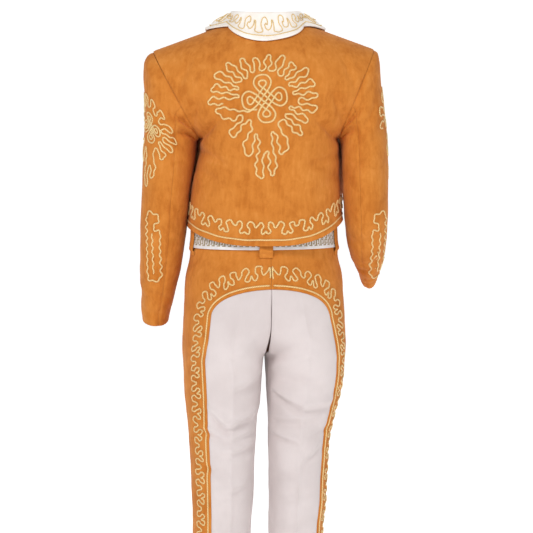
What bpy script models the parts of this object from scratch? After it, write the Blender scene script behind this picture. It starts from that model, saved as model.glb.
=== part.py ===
# A boy's charro suit as it is worn: short jacket, belted trousers, no wearer.
# Sizes are in millimetres and are turned into metres where a mesh is made.
# +X is the wearer's right, +Y the wearer's front, +Z up. The origin is the middle
# of the neck opening, level with the place where the shoulders carry the jacket.
import bpy
import bmesh
import numpy as np

MM = 0.001
SEAM = 0.3                 # gap between two pieces that a seam joins
SUEDE = 1.6                # wall of the jacket and of the tan trouser pieces
WHITE_CLOTH = 1.3          # wall of the white leg panels
COLLAR_CLOTH = 2.4
BELT_THICK = 3.0
DEG = np.pi / 180.0
RIGHT, LEFT = 1.0, -1.0
BACK, FRONT = -1.0, 1.0

# Jacket body: horizontal sections from the hem up to the armpit
BODY_SECTIONS = {          # height, half width left and right, depth back and front
    "z":     [-320.0, -290.0, -250.0, -200.0, -178.0, -155.0],
    "left":  [116.0, 115.0, 110.0, 102.5, 97.0, 95.0],
    "right": [115.0, 114.0, 108.5, 106.0, 105.5, 103.0],
    "back":  [88.0, 87.0, 85.0, 86.0, 87.0, 88.0],
    "front": [93.0, 92.0, 88.0, 86.0, 86.0, 86.0],
}
BODY_ROUND = 2.4           # 2 would be an ellipse, more is squarer
ARMPIT_Z = -155.0
BUST = {                   # the section half way up the armhole
    "z": -90.0, "back": 86.0, "front": 84.0, "spread": 55.0 * DEG,
}
ARMHOLE = {                # seam end at the shoulder, seam end at the armpit, half depth
    RIGHT: {"tip": (155.0, -28.0), "pit": (103.0, ARMPIT_Z), "depth": 55.0},
    LEFT: {"tip": (162.0, -31.0), "pit": (95.0, ARMPIT_Z), "depth": 55.0},
}
NECK_HALF = 52.0           # half width of the neckline, at the shoulder seam
NECK_Y = -2.0
NECK_Z = 10.0
NECK_BACK = {"reach": 44.0, "drop": 16.0}
NECK_FRONT = {"reach": 60.0, "drop": 48.0, "narrow": 18.0}
NECK_SHARE = 0.36          # share of the panel's top edge that the neckline takes
NECK_STEPS = 5             # columns that the jacket and the collar share along it
SHOULDER_SLOPE = 0.36
FRONT_SHARE = 0.19         # how far from the middle the open front edge lies
HEM = {                    # height of the hem: middle back, sides, front edge
    "back": -304.0, RIGHT: -271.0, LEFT: -280.0, "front": -286.0,
}
HEM_CURVE = 2.4

# Sleeves: each row is a ring of cloth square to the arm. out and in are its outermost and
# innermost points (across, height); y, half depth and tilt follow the bent elbow.
SLEEVE_RINGS = {
    LEFT: {
        "out_x": [162, 170, 175.5, 176.0, 174.3, 174.5, 175.5, 177, 178.5, 180, 181.5, 182.5,
                  183.0, 182.5, 181.5, 182.5, 181.5],
        "out_z": [-31, -37, -50, -68, -92, -122, -155, -190, -225, -258, -288, -315,
                  -340, -362, -381, -398, -416],
        "in_x": [95, 97.5, 99.7, 101, 101.6, 102, 103.2, 106.2, 109.8, 112, 115, 119,
                 123.5, 128.5, 133.5, 138.5, 142.5],
        "in_z": [-155, -156.8, -159, -162, -167, -175, -187, -208, -234, -262, -290, -316,
                 -341, -363, -382, -400, -419],
        "y": [0, 0, 0, 0, -1, -2, -4, -6, -8, -8, -4, 1, 7, 12, 17, 21, 25],
        "depth": [55, 55, 54.5, 54, 53, 52, 51, 50, 49, 48, 46, 45, 43, 42, 41, 39, 37],
        "tilt": [0, 0, 0, 0, 0, 1, 2, 3, 1, 4, 9, 12, 13, 13, 13, 13, 13],
    },
    RIGHT: {
        "out_x": [155, 160, 163.0, 164.5, 167.0, 170.5, 173.5, 175, 175.5, 175.8, 176, 175.5,
                  174.5, 172.5, 170.5, 168.5, 166],
        "out_z": [-28, -33, -46, -65, -90, -122, -155, -190, -223, -253, -279, -298,
                  -311, -322, -331, -340, -350],
        "in_x": [103, 105, 106.3, 107.2, 107.8, 108.3, 108.6, 109.2, 110.6, 112.4, 114.4, 116.8,
                 120.5, 125.5, 130.5, 134.5, 138],
        "in_z": [-155, -156.8, -159, -162, -167, -175, -187, -208, -232, -257, -280, -298,
                 -311, -322, -331, -340, -350],
        "y": [0, 0, 0, 0, -1, -3, -5, -8, -10, -8, 1, 14, 26, 37, 48, 60, 72],
        "depth": [55, 55, 54.5, 54, 53, 52, 51, 50, 49, 49, 48, 46, 44, 43, 41.5, 40, 38],
        "tilt": [0, 0, 0, 0, 0, 2, 3, 3, 5, 14, 28, 38, 42, 44, 45, 45, 45],
    },
}
SLEEVE_ROUND = 2.15
HIND_SEAM = 106.0 * DEG    # round the ring: 0 is outermost, 90 is the back, 180 the inside
FORE_SEAM = 250.0 * DEG
SLEEVE_FOLDS = {           # ring number, middle and reach round the ring in degrees, depth
    LEFT: {
        "ring": [4.6, 9.3, 11.6, 13.6],
        "mid": [70.0, 150.0, 60.0, 100.0],
        "reach": [50.0, 60.0, 70.0, 60.0],
        "long": [0.8, 0.7, 0.6, 0.5],
        "deep": [-2.5, -2.5, -2.0, -1.6],
    },
    RIGHT: {
        "ring": [4.6, 10.2, 12.4, 14.5],
        "mid": [80.0, 95.0, 70.0, 100.0],
        "reach": [50.0, 70.0, 70.0, 70.0],
        "long": [0.8, 0.7, 0.6, 0.5],
        "deep": [-2.5, -2.8, -2.4, -2.0],
    },
}

# Collar: stations from the middle of the back over the shoulder to the front point
COLLAR = {
    "at":     [0.0, 0.2, 0.36, 0.52, 0.74, 1.0],
    "fold_x": [0.0, 26.0, 41.0, 47.0, 47.0, 39.0],
    "fold_y": [-48.0, -42.0, -26.0, -2.0, 32.0, 58.0],
    "fold_z": [21.0, 22.0, 24.0, 25.0, 10.0, -24.0],
    "share":  [0.0, 0.26, 0.43, 0.56, 0.56, 0.46],     # place of the outer edge on the panel
    "over":   [-0.36, -0.33, -0.18, 0.02, 0.36, 0.86],  # how far below the shoulder, back below 0
    "shoulder": 0.52,                                   # station where the shoulder seam ends
    "falls":  (0.45, 0.72, 1.0),                        # places of the fall's rows, fold to edge
    "rise":   14.0,                                     # how high the fall stands near the fold
    "clear_back": 1.2, "clear_front": 3.2,
    "foot":   (-1.2, 1.9),                              # out from the neckline and up from it
    "stand":  (0.7, -0.5),                              # share of the way to the fold, and out
    "turn":   ((-1.2, -0.6), (1.6, 0.9), (5.0, -1.6)),  # out and up from the fold, over its top
}

# Trousers: each leg's horizontal section. Above the fork the two legs' sections run together
# and are cut at the middle; the whole pair is turned a little about the upright axis.
TROUSER_TURN = 7.4 * DEG
TROUSER_X = -3.0
LEGS = {
    "z":       [-980, -860, -726, -679, -636, -587, -559, -536, -516, -487, -471, -455,
                -436, -412, -387, -349, -319, -300, -265],
    "x_left":  [64, 63.5, 63, 61.5, 61.5, 61.5, 61.7, 60.5, 60.5, 60.2, 60, 55,
                46, 35, 24, 9, 0, 0, 0],
    "w_left":  [41, 41, 42, 44.5, 46, 48.6, 50.9, 54, 55.5, 57.2, 58.0, 63.5,
                72, 82.3, 91.6, 104, 107, 103.5, 102],
    "x_right": [45, 45, 46, 48.4, 49.4, 51.1, 54.1, 57, 58.6, 60.0, 60, 55,
                46, 35, 24, 9, 0, 0, 0],
    "w_right": [40, 39.5, 39.6, 41.6, 42.8, 44.9, 48.2, 52, 55.0, 57.4, 58.0, 63.5,
                72, 82.3, 91.6, 104, 107, 103.5, 102],
    "y":       [-10, -9, -6, -4, -3, -2, 0, 1, 2, 2, 2, 1, 0, 0, 0, 0, 0, 0, 0],
    "back":    [50, 50, 53, 56, 58, 58, 60, 64, 69, 77, 82, 86,
                89, 90, 89, 84, 77.5, 75, 74],
    "front":   [50, 50, 51, 52, 53, 55, 58, 61, 65, 70, 73, 75,
                77, 79, 80, 80, 77.5, 75, 74],
}
LEG_ROUND = 2.12
CREASE = {"back": -7.0 * DEG, "front": 187.0 * DEG, "high": 2.6, "wide": 9.0 * DEG,
          "top": -440.0, "fade": 60.0}
LEG_FOLDS = {              # behind the knees: height, middle angle, reach, half height, depth
    "z": [-548.0, -572.0, -600.0],
    "mid": [-15.0, 20.0, -5.0],
    "reach": [45.0, 40.0, 45.0],
    "tall": [9.0, 8.0, 9.0],
    "deep": [-3.0, -2.4, -2.2],
}
WAIST_SEAM = -306.0
WAIST_TOP = -268.0
TROUSER_HEM = -979.0
ARCH_TOP = -365.0          # the yoke's arch over the white panels
ARCH_FOOT = -405.0
ARCH_ROUND = 1.9
EDGE_ANGLE = {             # where the white panel ends, round the leg from the back
    "z": [-980.0, -680.0, -536.0, -470.0, ARCH_FOOT],
    LEFT: [27.0, 28.0, 30.0, 33.0, 37.0],
    RIGHT: [37.0, 38.0, 41.0, 39.0, 37.0],
}
FRONT_EDGE_TOP = -330.0    # the front's white panel reaches up to here
FRONT_EDGE = 180.0 - 40.0  # degrees round the leg

BELT = {"low": -310.0, "high": -272.0, "lap": 46.0 * DEG, "ease": 30.0 * DEG}
LOOPS = {                  # degrees round the waist from the middle back, half width in mm
    "belt_loop_back": (-3.4, 7.2),
    "belt_loop_side_left": (-78.0, 7.0),
    "belt_loop_side_right": (68.0, 7.0),
    "belt_loop_front_left": (-141.0, 7.0),
    "belt_loop_front_right": (141.0, 7.0),
}
LOOP_PATH = {              # height and distance off the cloth, top to bottom
    "z": [-266.5, -268.5, -271.2, -291.0, -311.0, -316.5, -321.0],
    "off": [0.4, 0.6, 4.0, 4.4, 4.0, 0.7, 0.4],
}
LAID = {"low": 0.7, "span": 3.0}   # distances off the cloth over which a loop leaves it
WAIST_HALF = 105.0         # half width of the waist
WAIST_RADIUS = 92.0        # its mean radius
WAIST_QUARTER = 150.0      # a quarter of the way round it
BUCKLE = {"wide": 31.0, "tall": 24.0, "thick": 2.6, "dome": 2.0}
FLY = {"top": -311.0, "foot": -388.0, "wide": 30.0, "off": 1.0, "curve": 40.0, "least": 0.15}

TAN = (0.60, 0.21, 0.045)
CREAM = (0.86, 0.80, 0.72)
WHITE = (0.85, 0.81, 0.82)
SILVER = (0.72, 0.70, 0.66)


# Clear the scene
for old in list(bpy.data.objects):
    bpy.data.objects.remove(old, do_unlink=True)
suit = bpy.data.collections.new("charro_suit")
bpy.context.scene.collection.children.link(suit)


def curve(xs, ys, x):
    """Smooth line through a table's points that never swings past them."""
    xs, ys = np.asarray(xs, float), np.asarray(ys, float)
    x = np.clip(np.asarray(x, float), xs[0], xs[-1])
    step = np.diff(xs)
    slope = np.diff(ys) / step
    tangent = np.zeros(len(xs))
    same = slope[:-1] * slope[1:] > 0
    low, high = step[:-1] + 2 * step[1:], 2 * step[:-1] + step[1:]
    mean = np.zeros(len(slope) - 1)
    mean[same] = (low + high)[same] / (low[same] / slope[:-1][same] + high[same] / slope[1:][same])
    tangent[1:-1] = mean
    tangent[0], tangent[-1] = slope[0], slope[-1]
    k = np.clip(np.searchsorted(xs, x, side="right") - 1, 0, len(step) - 1)
    h = step[k]
    t = (x - xs[k]) / h
    return ((1 + 2 * t) * (1 - t) ** 2 * ys[k] + t * (1 - t) ** 2 * h * tangent[k]
            + t * t * (3 - 2 * t) * ys[k + 1] + t * t * (t - 1) * h * tangent[k + 1])


def power(value, exponent):
    return np.sign(value) * np.abs(value) ** exponent


def unit(vectors):
    return vectors / np.maximum(np.linalg.norm(vectors, axis=-1, keepdims=True), 1e-9)


def stack(x, y, z):
    x, y, z = np.broadcast_arrays(x, y, z)
    return np.stack([x, y, z], axis=-1).astype(float)


def grid_normals(points, outward):
    """Normals of a grid, turned to the side that outward points to."""
    down = np.gradient(points, axis=0)
    across = np.gradient(points, axis=1)
    normals = unit(np.cross(across, down))
    if np.sum(normals * outward) < 0:
        normals = -normals
    return normals


def pull_in(outer, inner, edges, amount=SEAM / 2):
    """Moves the named edges of a wall a little towards its middle, to leave the seam's gap."""
    shift = np.zeros_like(outer)
    places = {"left": (np.s_[:, 0], np.s_[:, 1]), "right": (np.s_[:, -1], np.s_[:, -2]),
              "high": (np.s_[-1, :], np.s_[-2, :])}
    for edge in edges:
        at, beside = places[edge]
        line = outer[at]
        along = unit(np.gradient(line, axis=0))
        step = outer[beside] - line
        inward = step - along * np.sum(step * along, axis=-1, keepdims=True)
        square = np.linalg.norm(inward, axis=-1) > 0.35 * np.linalg.norm(step, axis=-1)
        shift[at] += unit(inward) * amount * square[:, None]
    return outer + shift, inner + shift


def add_piece(name, outer, inner, colour, roughness=0.8, metallic=0.0, closed=False):
    """One closed wall between an outer and an inner grid of points."""
    rows, cols = outer.shape[:2]
    count = rows * cols
    number = np.arange(count).reshape(rows, cols)
    last = cols if closed else cols - 1
    faces = []

    def quad(a, b, c, d):
        faces.append((a, b, c))
        faces.append((a, c, d))

    for r in range(rows - 1):
        for c in range(last):
            n = (c + 1) % cols
            a, b = number[r, c], number[r, n]
            d, e = number[r + 1, c], number[r + 1, n]
            quad(a, b, e, d)
            faces.append((a + count, e + count, b + count))
            faces.append((a + count, d + count, e + count))
    for c in range(last):
        n = (c + 1) % cols
        for r in (0, rows - 1):
            a, b = number[r, c], number[r, n]
            quad(a, b, b + count, a + count)
    if not closed:
        for r in range(rows - 1):
            for c in (0, cols - 1):
                a, b = number[r, c], number[r + 1, c]
                quad(a, b, b + count, a + count)
    points = np.concatenate([outer.reshape(-1, 3), inner.reshape(-1, 3)]) * MM
    mesh = bpy.data.meshes.new(name)
    mesh.from_pydata(points.tolist(), [], [tuple(int(i) for i in f) for f in faces])
    shell = bmesh.new()
    shell.from_mesh(mesh)
    bmesh.ops.recalc_face_normals(shell, faces=shell.faces)
    shell.to_mesh(mesh)
    shell.free()
    mesh.shade_smooth()
    mesh.set_sharp_from_angle(angle=50 * DEG)
    piece = bpy.data.objects.new(name, mesh)
    suit.objects.link(piece)
    finish = bpy.data.materials.new(name + "_finish")
    finish.use_nodes = True
    shader = finish.node_tree.nodes["Principled BSDF"]
    shader.inputs["Base Color"].default_value = (*colour, 1.0)
    shader.inputs["Roughness"].default_value = roughness
    shader.inputs["Metallic"].default_value = metallic
    mesh.materials.append(finish)
    return piece


# Jacket body
def body_section(side, face, share, z):
    """Point of the jacket's horizontal section: share 0 is the middle, 1 the side seam."""
    half = curve(BODY_SECTIONS["z"], BODY_SECTIONS["right" if side > 0 else "left"], z)
    deep = curve(BODY_SECTIONS["z"], BODY_SECTIONS["back" if face < 0 else "front"], z)
    angle = share * 90 * DEG
    x = side * half * power(np.sin(angle), 2 / BODY_ROUND)
    y = face * deep * power(np.abs(np.cos(angle)), 2 / BODY_ROUND)
    return x, y


def hem_height(side, face, share):
    middle = HEM["back"] if face < 0 else HEM["front"]
    return middle + (HEM[side] - middle) * np.sin(share * 90 * DEG) ** HEM_CURVE


def armhole_point(side, angle):
    """Ring of the armhole seam: angle 0 is the shoulder, 90 degrees the back, 180 the armpit."""
    hole = ARMHOLE[side]
    tip, pit = np.array(hole["tip"]), np.array(hole["pit"])
    mid, half = (tip + pit) / 2, (tip - pit) / 2
    return stack(side * (mid[0] + half[0] * np.cos(angle)), -hole["depth"] * np.sin(angle),
                 mid[1] + half[1] * np.cos(angle))


def armhole_axis(side):
    """Direction square to the armhole's plane, pointing down the sleeve."""
    hole = ARMHOLE[side]
    run = unit(np.array(hole["tip"]) - np.array(hole["pit"]))
    return np.array([side * run[1], 0.0, -run[0]])


def armhole_normal(side, angle):
    """Outward direction of the armhole ring, lying in its own plane."""
    hole = ARMHOLE[side]
    span = np.array(hole["tip"]) - np.array(hole["pit"])
    half = np.linalg.norm(span) / 2
    up = span / (2 * half)
    lift, back = np.cos(angle) / half, np.sin(angle) / hole["depth"]
    return unit(stack(side * up[0] * lift, -back, up[1] * lift))


def top_edge(side, face, share):
    """The panel's top: the neckline near the middle, then the shoulder seam."""
    tip_x = ARMHOLE[side]["tip"][0]
    along = np.clip((share - NECK_SHARE) / (1 - NECK_SHARE), 0, 1)
    x = NECK_HALF + (tip_x - NECK_HALF) * along
    y = NECK_Y * (1 - along)
    z = NECK_Z - SHOULDER_SLOPE * (x - NECK_HALF)
    if face < 0:
        turn = np.clip(share / NECK_SHARE, 0, 1) * 90 * DEG
        neck = (NECK_HALF * np.sin(turn), NECK_Y - NECK_BACK["reach"] * np.cos(turn),
                NECK_Z - NECK_BACK["drop"] * np.cos(turn) ** 1.3)
    else:
        turn = np.clip((share - FRONT_SHARE) / (NECK_SHARE - FRONT_SHARE), 0, 1) * 90 * DEG
        narrow = NECK_FRONT["narrow"]
        neck = (NECK_HALF - narrow + narrow * np.sin(turn),
                NECK_Y + NECK_FRONT["reach"] * np.cos(turn),
                NECK_Z - NECK_FRONT["drop"] * np.cos(turn))
    on_neck = share < NECK_SHARE
    return tuple(np.where(on_neck, n, s) for n, s in zip(neck, (x, y, z)))


def jacket_point(side, face, share, level):
    """Outer face of the jacket. level 0 is the hem, 1 the armpit, 2 half way up the armhole
    and 3 the shoulder seam; near the armhole the columns follow its ring."""
    share, level = np.broadcast_arrays(np.asarray(share, float), np.asarray(level, float))
    hole = ARMHOLE[side]
    pit_x, pit_y = body_section(side, face, share, ARMPIT_Z)
    spread = BUST["spread"]
    deep = BUST["back"] if face < 0 else BUST["front"]
    edge = armhole_point(side, 90 * DEG)
    bust_x = edge[..., 0] * np.sin(share * spread) / np.sin(spread)
    bulge = (np.cos(share * spread) - np.cos(spread)) / (1 - np.cos(spread))
    bust_y = face * (hole["depth"] + (deep - hole["depth"]) * bulge)
    bust_z = BUST["z"] + (edge[..., 2] - BUST["z"]) * share ** 2
    top_x, top_y, top_z = top_edge(side, face, share)
    top_x = side * top_x
    ring = share ** 4

    low = np.clip(level, 0, 1)
    hem = hem_height(side, face, share)
    low_z = hem + (ARMPIT_Z - hem) * low
    low_x, low_y = body_section(side, face, share, low_z)

    mid = np.clip(level - 1, 0, 1)
    slow = (1 - ring) * mid + ring * (1 - np.cos(mid * 90 * DEG))
    fast = (1 - ring) * mid + ring * np.sin(mid * 90 * DEG)
    mid_x = pit_x + (bust_x - pit_x) * slow
    mid_y = pit_y + (bust_y - pit_y) * fast
    mid_z = ARMPIT_Z + (bust_z - ARMPIT_Z) * slow

    high = np.clip(level - 2, 0, 1)
    rise = np.sin(high * 90 * DEG)
    high_x = bust_x + (top_x - bust_x) * ((1 - ring) * high + ring * rise)
    high_y = bust_y + (top_y - bust_y) * (1 - np.cos(high * 90 * DEG))
    high_z = bust_z + (top_z - bust_z) * rise
    x = np.where(level <= 1, low_x, np.where(level <= 2, mid_x, high_x))
    y = np.where(level <= 1, low_y, np.where(level <= 2, mid_y, high_y))
    z = np.where(level <= 1, low_z, np.where(level <= 2, mid_z, high_z))
    return stack(x, y, z)


JACKET_LEVELS = np.concatenate([np.linspace(0, 1, 6)[:-1], np.linspace(1, 2, 5)[:-1],
                                np.linspace(2, 3, 6)])
SHOULDER_NORMAL = unit(np.array([SHOULDER_SLOPE, 0.0, 1.0]))


def jacket_seam_normals(normals, side, level, column, from_share, shares):
    """Along a seam both pieces take the same wall direction."""
    sideways = np.array([side, 0.0, 0.0])
    for row, here in enumerate(level):
        if here < 1:
            normals[row, column] = sideways
        else:
            angle = (180 - 90 * (here - 1)) * DEG
            turned = armhole_normal(side, angle)
            normals[row, column] = turned * np.array([1, from_share, 1])
    across = SHOULDER_NORMAL * np.array([side, 1.0, 1.0])
    on_seam = (shares >= NECK_SHARE) & (shares < 1)
    normals[-1, on_seam] = across
    return normals


def jacket_back():
    half = np.concatenate([np.linspace(0, NECK_SHARE, NECK_STEPS)[:-1],
                           np.linspace(NECK_SHARE, 1, 6)])
    right = jacket_point(RIGHT, BACK, half[None, :], JACKET_LEVELS[:, None])
    left = jacket_point(LEFT, BACK, half[None, :], JACKET_LEVELS[:, None])
    outer = np.concatenate([left[:, ::-1], right[:, 1:]], axis=1)
    normals = grid_normals(outer, np.array([0.0, -1.0, 0.0]))
    middle = len(half) - 1
    jacket_seam_normals(normals[:, ::-1][:, middle:], LEFT, JACKET_LEVELS, -1, 1.0, half)
    jacket_seam_normals(normals[:, middle:], RIGHT, JACKET_LEVELS, -1, 1.0, half)
    inner = outer - SUEDE * normals
    outer, inner = pull_in(outer, inner, ("left", "right", "high"))
    add_piece("jacket_back", outer, inner, TAN)


def jacket_front(side, name):
    shares = np.concatenate([np.linspace(FRONT_SHARE, NECK_SHARE, NECK_STEPS)[:-1],
                             np.linspace(NECK_SHARE, 1, 6)])
    outer = jacket_point(side, FRONT, shares[None, :], JACKET_LEVELS[:, None])
    normals = grid_normals(outer, np.array([0.0, 1.0, 0.0]))
    jacket_seam_normals(normals, side, JACKET_LEVELS, -1, -1.0, shares)
    inner = outer - SUEDE * normals
    outer, inner = pull_in(outer, inner, ("right", "high"))
    add_piece(name, outer, inner, TAN)


# Sleeves
def sleeve_point(side, ring, angle):
    """Outer face of a sleeve: ring counts down the sleeve, angle goes round it from the
    outermost point over the back to the inside and the front."""
    table = SLEEVE_RINGS[side]
    count = np.arange(len(table["y"]))
    row = {key: curve(count, values, ring) for key, values in table.items()}
    mid_x, half_x = (row["out_x"] + row["in_x"]) / 2, (row["out_x"] - row["in_x"]) / 2
    mid_z, half_z = (row["out_z"] + row["in_z"]) / 2, (row["out_z"] - row["in_z"]) / 2
    squarer = np.clip(ring / 4, 0, 1)
    shape = 2 / (2 + (SLEEVE_ROUND - 2) * squarer)
    across, back = power(np.cos(angle), shape), power(np.sin(angle), shape)
    tilt = row["tilt"] * DEG
    x = side * (mid_x + half_x * across)
    y = row["y"] - row["depth"] * back * np.cos(tilt)
    z = mid_z + half_z * across - row["depth"] * back * np.sin(tilt)
    folds = SLEEVE_FOLDS[side]
    push = np.zeros(np.broadcast(ring, angle).shape)
    for at, mid, reach, long, deep in zip(*folds.values()):
        away = (angle - mid * DEG + np.pi) % (2 * np.pi) - np.pi
        push = push + deep * np.exp(-((ring - at) / long) ** 2 - (away / (reach * DEG)) ** 2)
    out = unit(stack(side * across, -back * np.cos(tilt), -back * np.sin(tilt)))
    return stack(x, y, z) + out * push[..., None]


def sleeve(side, name, start, stop, count):
    rings = np.arange(len(SLEEVE_RINGS[side]["y"]))
    angles = np.linspace(start, stop, count)
    outer = sleeve_point(side, rings[:, None], angles[None, :])
    steps = 240
    every = np.linspace(0, 2 * np.pi, steps + 1)
    whole = sleeve_point(side, rings[:, None], every[None, :])
    down, across = np.gradient(whole, axis=0), np.gradient(whole, axis=1)
    across[:, 0] = across[:, -1] = (whole[:, 1] - whole[:, -2]) / 2
    facing = unit(np.cross(across, down))
    if np.sum(facing[:, 0, 0]) * side < 0:
        facing = -facing
    place = np.rint((angles % (2 * np.pi)) / (2 * np.pi) * steps).astype(int)
    normals = facing[:, place]
    normals[0] = armhole_normal(side, angles)
    inner = outer - SUEDE * normals
    outer, inner = pull_in(outer, inner, ("left", "right"))
    away = armhole_axis(side) * SEAM / 2
    outer[0] += away
    inner[0] += away
    add_piece(name, outer, inner, TAN)


# Collar
def above_jacket(side, share, over, clear):
    """Point that lies this far off the jacket, below the shoulder seam by over."""
    face, level, small = (BACK if over < 0 else FRONT), 3 - abs(over), 0.02
    here = jacket_point(side, face, share, level)
    beside = jacket_point(side, face, share + small, level)
    below = jacket_point(side, face, share, level - small)
    square = unit(np.cross(beside - here, here - below))
    return here + square * clear * np.sign(np.dot(square, [0, face, 0.5]))


def collar():
    table = COLLAR
    shoulder = table["shoulder"]
    at = np.concatenate([np.linspace(0, shoulder, NECK_STEPS)[:-1],
                         np.linspace(shoulder, 1, NECK_STEPS)])
    up = np.array([0.0, 0.0, 1.0])
    sides = []
    for side in (LEFT, RIGHT):
        row = {key: curve(table["at"], table[key], at)
               for key in ("fold_x", "fold_y", "fold_z", "share", "over")}
        fold = stack(side * row["fold_x"], row["fold_y"], row["fold_z"])
        neck = np.zeros_like(fold)
        # The stand's foot follows the neckline from the middle back to the front edge
        neck_share = np.where(at <= shoulder, NECK_SHARE * at / shoulder,
                              NECK_SHARE - (NECK_SHARE - FRONT_SHARE) * (at - shoulder)
                              / (1 - shoulder))
        for i, share in enumerate(neck_share):
            face = BACK if at[i] <= shoulder else FRONT
            neck[i] = np.array(top_edge(side, face, share)) * [side, 1, 1]
        fall = []
        for t in table["falls"]:
            share = neck_share + (row["share"] - neck_share) * t
            over = row["over"] * t
            clear = COLLAR_CLOTH / 2 + table["rise"] * (1 - t) ** 1.6
            clear = clear + np.where(over > 0, table["clear_front"], table["clear_back"])
            fall.append(np.array([above_jacket(side, *spot) for spot in zip(share, over, clear)]))
        out = unit((fall[-1] - fold) * [1, 1, 0])
        foot = neck + out * table["foot"][0] + up * table["foot"][1]
        stand = foot + (fold - foot) * table["stand"][0] + out * table["stand"][1]
        turns = [fold + out * across + up * high for across, high in table["turn"]]
        sides.append(np.stack([foot, stand, *turns, *fall]))
    left, right = sides
    path = np.concatenate([left[:, ::-1], right[:, 1:]], axis=1)
    down, across = np.gradient(path, axis=0), np.gradient(path, axis=1)
    normals = unit(np.cross(across, down))
    if normals[-1, len(at) - 1, 1] > 0:
        normals = -normals
    half = COLLAR_CLOTH / 2 * normals
    add_piece("collar", path + half, path - half, CREAM, 0.7)


# Trousers
def leg_angles(side, z):
    """First and last angle of a leg's section, where the middle of the body cuts it."""
    key = "right" if side > 0 else "left"
    x, w = curve(LEGS["z"], LEGS["x_" + key], z), curve(LEGS["z"], LEGS["w_" + key], z)
    cut = np.arcsin(np.clip(x / w, 0, 1) ** (LEG_ROUND / 2))
    return x, w, -cut, np.pi + cut


def leg_point(side, angle, z):
    """Outer face of a leg: angle 0 is the back, 90 degrees the outside, 180 the front."""
    x_mid, w, _, _ = leg_angles(side, z)
    shape = 2 / LEG_ROUND
    y_mid = curve(LEGS["z"], LEGS["y"], z)
    deep = np.where(np.cos(angle) > 0, curve(LEGS["z"], LEGS["back"], z),
                    curve(LEGS["z"], LEGS["front"], z))
    x = x_mid + w * power(np.sin(angle), shape)
    y = y_mid - deep * power(np.cos(angle), shape)
    pressed = CREASE["high"] * np.clip((CREASE["top"] - z) / CREASE["fade"], 0, 1)
    push = np.zeros(np.broadcast(angle, z).shape)
    for key in ("back", "front"):
        push = push + pressed * np.exp(-np.abs(angle - CREASE[key]) / CREASE["wide"])
    for at, mid, reach, tall, deepness in zip(*LEG_FOLDS.values()):
        push = push + deepness * np.exp(-((z - at) / tall) ** 2
                                        - ((angle - mid * DEG) / (reach * DEG)) ** 2)
    x = x + push * np.sin(angle)
    y = y - push * np.cos(angle)
    turn_cos, turn_sin = np.cos(TROUSER_TURN), np.sin(TROUSER_TURN)
    x = side * x
    return stack(TROUSER_X + x * turn_cos - y * turn_sin, x * turn_sin + y * turn_cos, z)


def leg_share_point(side, share, z):
    """share 0 is the middle back or the inside leg, 0.5 the side seam, 1 the middle front."""
    _, _, first, last = leg_angles(side, z)
    side_seam = np.pi / 2
    angle = np.where(share <= 0.5, first + (side_seam - first) * share * 2,
                     side_seam + (last - side_seam) * (share - 0.5) * 2)
    return leg_point(side, angle, z)


def leg_normals(side, share, z):
    """Outward directions, from small steps along and round the leg."""
    small, rise = 0.004, 0.8
    near = np.clip(share, small, 1 - small)
    round_it = leg_share_point(side, near + small, z) - leg_share_point(side, near - small, z)
    up_it = leg_share_point(side, near, z + rise) - leg_share_point(side, near, z - rise)
    return side * unit(np.cross(round_it, up_it))


def edge_share(side, z):
    """Share at which the white back panel ends."""
    _, _, first, _ = leg_angles(side, z)
    angle = curve(EDGE_ANGLE["z"], EDGE_ANGLE[side], z) * DEG
    return 0.5 * (angle - first) / (np.pi / 2 - first)


STRIP_Z = np.concatenate([np.linspace(TROUSER_HEM, -640, 5)[:-1], np.linspace(-640, -520, 7)[:-1],
                          np.linspace(-520, ARCH_FOOT - 15, 5)])
ARCH_STEPS = 6


def arch(side):
    """The yoke's arch from its foot to the middle back, as shares and heights."""
    turn = np.linspace(0, 90, ARCH_STEPS + 1) * DEG
    across, rise = np.cos(turn) ** (2 / ARCH_ROUND), np.sin(turn) ** (2 / ARCH_ROUND)
    across[-1] = 0.0
    return edge_share(side, ARCH_FOOT) * across, ARCH_FOOT + (ARCH_TOP - ARCH_FOOT) * rise


def trouser_back(side, name):
    """Tan strip up the outside of the leg, running into the yoke over the arch."""
    low_z = np.append(STRIP_Z, ARCH_FOOT)
    inner_share, inner_z = arch(side)
    inner_share = np.concatenate([edge_share(side, low_z), inner_share[1:]])
    inner_z = np.concatenate([low_z, inner_z[1:]])
    corner = 3
    up_side = np.linspace(ARCH_FOOT, WAIST_SEAM, corner + 1)[1:]
    along_waist = np.linspace(0.5, 0.0, ARCH_STEPS - corner + 1)[1:]
    outer_share = np.concatenate([np.full(len(low_z) + corner, 0.5), along_waist])
    outer_z = np.concatenate([low_z, up_side, np.full(ARCH_STEPS - corner, WAIST_SEAM)])
    t = np.linspace(0, 1, 5)[None, :]
    share = inner_share[:, None] + (outer_share - inner_share)[:, None] * t
    z = inner_z[:, None] + (outer_z - inner_z)[:, None] * t
    outer = leg_share_point(side, share, z)
    inner = outer - SUEDE * leg_normals(side, share, z)
    outer, inner = pull_in(outer, inner, ("left", "right", "high"))
    add_piece(name, outer, inner, TAN)


def leg_panel_back(side, name):
    """White panel: its columns run up to the arch and its rows are the strip's rows."""
    cut_share, cut_z = arch(side)
    column = cut_share[::-1] / cut_share[0]
    low_z = np.repeat(STRIP_Z[:, None], len(column), axis=1)
    share = np.concatenate([edge_share(side, low_z) * column[None, :], cut_share[None, ::-1]])
    z = np.concatenate([low_z, cut_z[None, ::-1]])
    outer = leg_share_point(side, share, z)
    inner = outer - WHITE_CLOTH * leg_normals(side, share, z)
    outer, inner = pull_in(outer, inner, ("left", "right", "high"), SEAM * 0.8)
    add_piece(name, outer, inner, WHITE)


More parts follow.
